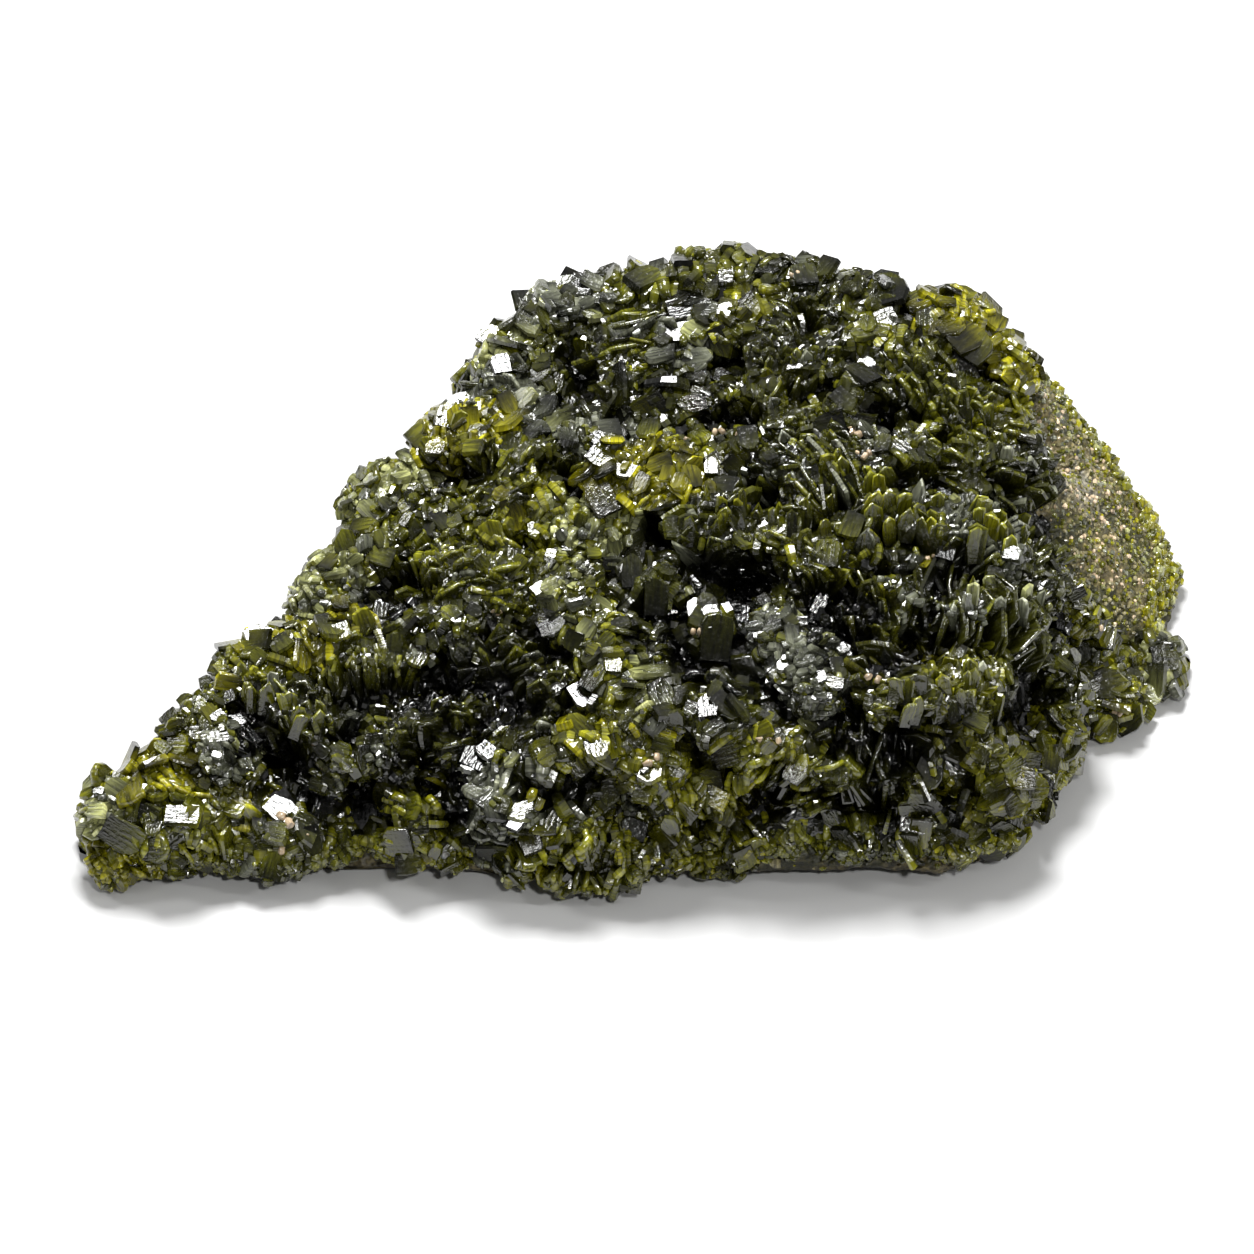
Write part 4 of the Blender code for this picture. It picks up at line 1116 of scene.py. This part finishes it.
def rock_colour(place, gap):
    """Grains of grey, tan and yellow green, with painted shade low down near the foot, darker on the
    side walls in bands, and brighter out on the flank.
    """
    cloud = noise.noise(place * 0.30 + Vector((7.0, 3.0, 1.0)))
    grain = noise.noise(place * 1.9)
    outer = smooth((place.x - 38.0) / 8.0) * smooth((place.y - 1.0) / 4.0)
    white = smooth(1.0 - math.hypot(place.x - 39.5, place.y - 11.0) / 3.2)
    tan = smooth(0.45 + 1.9 * cloud + 1.0 * grain)
    colour = np.array(ROCK_OLIVE) * (1.0 - tan) + np.array(ROCK_TAN) * tan
    to_rim = smooth(1.0 - distance(place.x, place.y, EDGE) / 6.0)
    green = (0.25 + 0.75 * to_rim) * outer * smooth(0.62 - 0.9 * cloud + 0.5 * grain)
    colour = colour * (1.0 - 0.8 * green) + np.array(ROCK_GREEN) * 0.8 * green
    colour = colour * (1.0 - 0.75 * white) + np.array(ROCK_WHITE) * 0.75 * white
    # Painted shade: darker towards the foot
    low = 0.35 + 0.65 * smooth((place.z - 0.2) / 4.0)
    on_wall = smooth(1.0 - distance(place.x, place.y, EDGE) / 1.5)
    on_wall *= 1.0 - flank_share(place.x, place.y)
    tilt = 2.0 * noise.noise(place * 0.12) * place.z
    bands = 0.5 + 0.5 * math.sin(5.0 * place.z + 3.0 * cloud + tilt)
    low *= 1.0 - on_wall * (0.30 + 0.25 * bands)
    return colour * (1.25 - 0.9 * gap) * (1.0 + 0.7 * grain) * low


def rock_crumbs(pile, rock, rng):
    """Small crystals and grains that are grown on the bare rock."""
    points = vectors_of(rock.data.vertices) / MM - SHIFT
    open_places = [p for p in points if p[2] > 1.0 and flank_share(p[0], p[1]) > 0.5]
    others = [p for p in points if p[2] > 1.0 and flank_share(p[0], p[1]) <= 0.5]
    for _ in range(CRUMBS):
        on_flank = rng.random() < 0.55
        place = rng.choice(open_places if on_flank else others)
        outer = smooth((place[0] - 38.0) / 8.0)
        rim = on_flank and distance(place[0], place[1], EDGE) < 2.2
        if rim or rng.random() < 0.15 + 0.25 * outer:
            tone = rng.choice(RIM_TONES)
        else:
            tone = rng.choice(FLANK_TONES if on_flank else WALL_TONES)
        radius = rng.uniform(0.30, 0.65) if rim and rng.random() < 0.5 else rng.uniform(0.10, 0.30)
        if not on_flank:
            cloud = noise.noise(Vector(place) * 0.25)
            crowd = smooth(0.5 + 1.6 * cloud + 0.10 * (place[2] - 5.0))
            if rng.random() > 0.25 + 0.75 * crowd:
                continue
            radius *= 1.0 + 1.3 * crowd
        bead(pile, place, radius, tone, rng, rounded=rim and rng.random() < 0.5)


def node(tree, kind, inputs=None, **values):
    """A new node; each of the inputs is given a number, or a link from another node's output."""
    made = tree.nodes.new(kind)
    for name, value in values.items():
        setattr(made, name, value)
    for name, value in (inputs or {}).items():
        if isinstance(value, bpy.types.NodeSocket):
            tree.links.new(value, made.inputs[name])
        else:
            made.inputs[name].default_value = value
    return made


def painted(tree, name, output):
    return node(tree, "ShaderNodeAttribute", attribute_name=name).outputs[output]


def noise_at(tree, place, scale, detail):
    inputs = {"Vector": place, "Scale": scale, "Detail": detail}
    return node(tree, "ShaderNodeTexNoise", inputs).outputs["Fac"]


def mapped(tree, value, low, high, to_low, to_high):
    """The value, with the range from low to high spread over another range."""
    inputs = {"Value": value, "From Min": low, "From Max": high, "To Min": to_low, "To Max": to_high}
    return node(tree, "ShaderNodeMapRange", inputs).outputs["Result"]


def new_material(name):
    made = bpy.data.materials.new(name)
    made.use_nodes = True
    return made, made.node_tree, made.node_tree.nodes["Principled BSDF"]


def colour_and_relief(tree, shader, light, height, strength, depth):
    """Colours the shader by the painted tone times the light, and gives it a fine relief."""
    tone = painted(tree, "tone", "Color")
    colour = node(tree, "ShaderNodeVectorMath", {0: tone, "Scale": light}, operation="SCALE")
    tree.links.new(colour.outputs["Vector"], shader.inputs["Base Color"])
    inputs = {"Strength": strength, "Distance": depth * MM, "Height": height}
    bump = node(tree, "ShaderNodeBump", inputs)
    tree.links.new(bump.outputs["Normal"], shader.inputs["Normal"])


def crystal_material():
    """Glassy epidote: its colour follows each blade's tone, with fine streaks along the blades."""
    made, tree, shader = new_material("epidote glassy")
    shader.inputs["IOR"].default_value = 1.74
    shader.inputs["Specular IOR Level"].default_value = 0.5
    grain = painted(tree, "grain", "Vector")
    along = node(tree, "ShaderNodeMapping", {"Vector": grain, "Scale": (4.2, 0.55, 1.0)})
    streaks = noise_at(tree, along.outputs["Vector"], 1.0, 4.0)
    pits = noise_at(tree, grain, 2.6, 2.0)
    tree.links.new(mapped(tree, pits, 0.35, 0.65, 0.05, 0.26), shader.inputs["Roughness"])
    relief = node(tree, "ShaderNodeMath", {0: streaks, 1: pits}, operation="ADD").outputs["Value"]
    light = mapped(tree, streaks, 0.3, 0.7, 0.30, 1.9)
    colour_and_relief(tree, shader, light, relief, 0.5, 0.10)
    return made


def rock_material():
    """Granular host rock: its colour follows the painted grains, with finer grit between."""
    made, tree, shader = new_material("host rock granular")
    shader.inputs["Roughness"].default_value = 0.42
    grit = noise_at(tree, painted(tree, "grain", "Vector"), 4.5, 3.0)
    light = mapped(tree, grit, 0.3, 0.7, 0.35, 1.65)
    colour_and_relief(tree, shader, light, grit, 0.6, 0.15)
    return made


def make_object():
    """The specimen's visible pieces, each riding on its body."""
    rng = random.Random(SEED)
    crystal = crystal_material()
    beads = Pile("crystal_knobs")
    stacks = (Pile("sheaves_left"), Pile("sheaves_right"))
    small = (Pile("small_crystals_left"), Pile("small_crystals_right"))
    bed = finish_bed()
    bed.data.materials.clear()
    bed.data.materials.append(crystal)
    for lump in LUMPS:
        if "pitch" in KINDS[lump.kind]:
            fan(stacks, beads, lump, rng)
    scatter_crystals(small, beads, rng)
    plate_rows(small, rng)
    set_spots(small, rng)
    edge_crystals(small, beads, rng)
    pieces = [bed] + [pile.make(crystal) for pile in (*stacks, *small, beads)]
    for piece in pieces:
        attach(piece, "root")
        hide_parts("epidote_crystals")
    rock = rock_mesh()
    rock.data.materials.clear()
    rock.data.materials.append(rock_material())
    crumbs = Pile("rock_crumbs")
    rock_crumbs(crumbs, rock, rng)
    for piece in (rock, crumbs.make(crystal)):
        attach(piece, "root")
        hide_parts("matrix_rock")


def make_floor():
    mesh = bpy.data.meshes.new("floor")
    bm = bmesh.new()
    bmesh.ops.create_grid(bm, x_segments=1, y_segments=1, size=1.5)
    bm.to_mesh(mesh)
    bm.free()
    floor = new_object("floor", mesh)
    made, _, shader = new_material("pale floor")
    shader.inputs["Base Color"].default_value = (0.62, 0.62, 0.62, 1.0)
    shader.inputs["Roughness"].default_value = 0.9
    shader.inputs["Specular IOR Level"].default_value = 0.1
    mesh.materials.append(made)


def aim(obj, place, target):
    obj.location = place
    obj.rotation_euler = (target - place).to_track_quat("-Z", "Y").to_euler()


# The lights: name, azimuth (0 is in front, 90 on the right, 180 behind), elevation, distance,
# size, power and colour
WHITE = (1.0, 1.0, 1.0)
LIGHTS = [
    ("key above and behind", 188, 62, 0.55, (0.20, 0.14), 4.6, WHITE),
    ("bright spot", 196, 55, 0.55, (0.07, 0.06), 0.9, WHITE),
    ("left strip", 262, 38, 0.50, (0.04, 0.16), 0.5, WHITE),
    ("right strip", 75, 35, 0.50, (0.04, 0.16), 0.45, WHITE),
    ("front fill", 15, 50, 0.60, (0.05, 0.04), 1.1, (1.0, 1.0, 0.98)),
]
LIT_PLACE = Vector((0.0, 0.0, 0.012))


def softbox(name, azimuth, elevation, away, size, power, colour):
    light = bpy.data.lights.new(name, "AREA")
    light.shape = "RECTANGLE"
    light.size, light.size_y = size
    light.energy = power
    light.color = colour
    turn, lift = math.radians(azimuth), math.radians(elevation)
    flat = math.cos(lift)
    way = Vector((math.sin(turn) * flat, -math.cos(turn) * flat, math.sin(lift)))
    aim(new_object(name, light), LIT_PLACE + way * away, LIT_PLACE)


def make_lights():
    """The softboxes, and a world that is brighter above and behind."""
    for light in LIGHTS:
        softbox(*light)
    world = bpy.data.worlds.new("studio")
    world.use_nodes = True
    tree = world.node_tree
    background = tree.nodes["Background"]
    way = node(tree, "ShaderNodeTexCoord").outputs["Generated"]
    upward = {0: way, 1: (0.05, 0.42, 0.90)}
    facing = node(tree, "ShaderNodeVectorMath", upward, operation="DOT_PRODUCT").outputs["Value"]
    tree.links.new(mapped(tree, facing, 0.35, 0.90, 0.08, 0.42), background.inputs["Strength"])
    background.inputs["Color"].default_value = (1.0, 1.0, 1.0, 1.0)
    bpy.context.scene.world = world


# The photograph's view: 45 degrees down along +Y, its centre on this point of the plate
VIEW_CENTRE = (-0.9, -3.35, 10.0)
VIEW_WIDTH = 111.5
VIEW_ELEVATION = 45.0
LENS = 320.0
SENSOR = 36.0


def make_camera():
    camera = bpy.data.cameras.new("camera")
    camera.lens = LENS
    camera.sensor_width = SENSOR
    camera.clip_start = 0.01
    obj = new_object("camera", camera)
    bpy.context.scene.camera = obj
    target = Vector((np.array(VIEW_CENTRE) + SHIFT) * MM)
    lift = math.radians(VIEW_ELEVATION)
    away = VIEW_WIDTH * MM * LENS / SENSOR
    aim(obj, target + Vector((0.0, -math.cos(lift), math.sin(lift))) * away, target)


def main():
    make_object()
    make_floor()
    make_lights()
    make_camera()
    scene = bpy.context.scene
    scene.view_settings.view_transform = "Standard"
    scene.view_settings.look = "None"
    bpy.context.view_layer.update()


main()
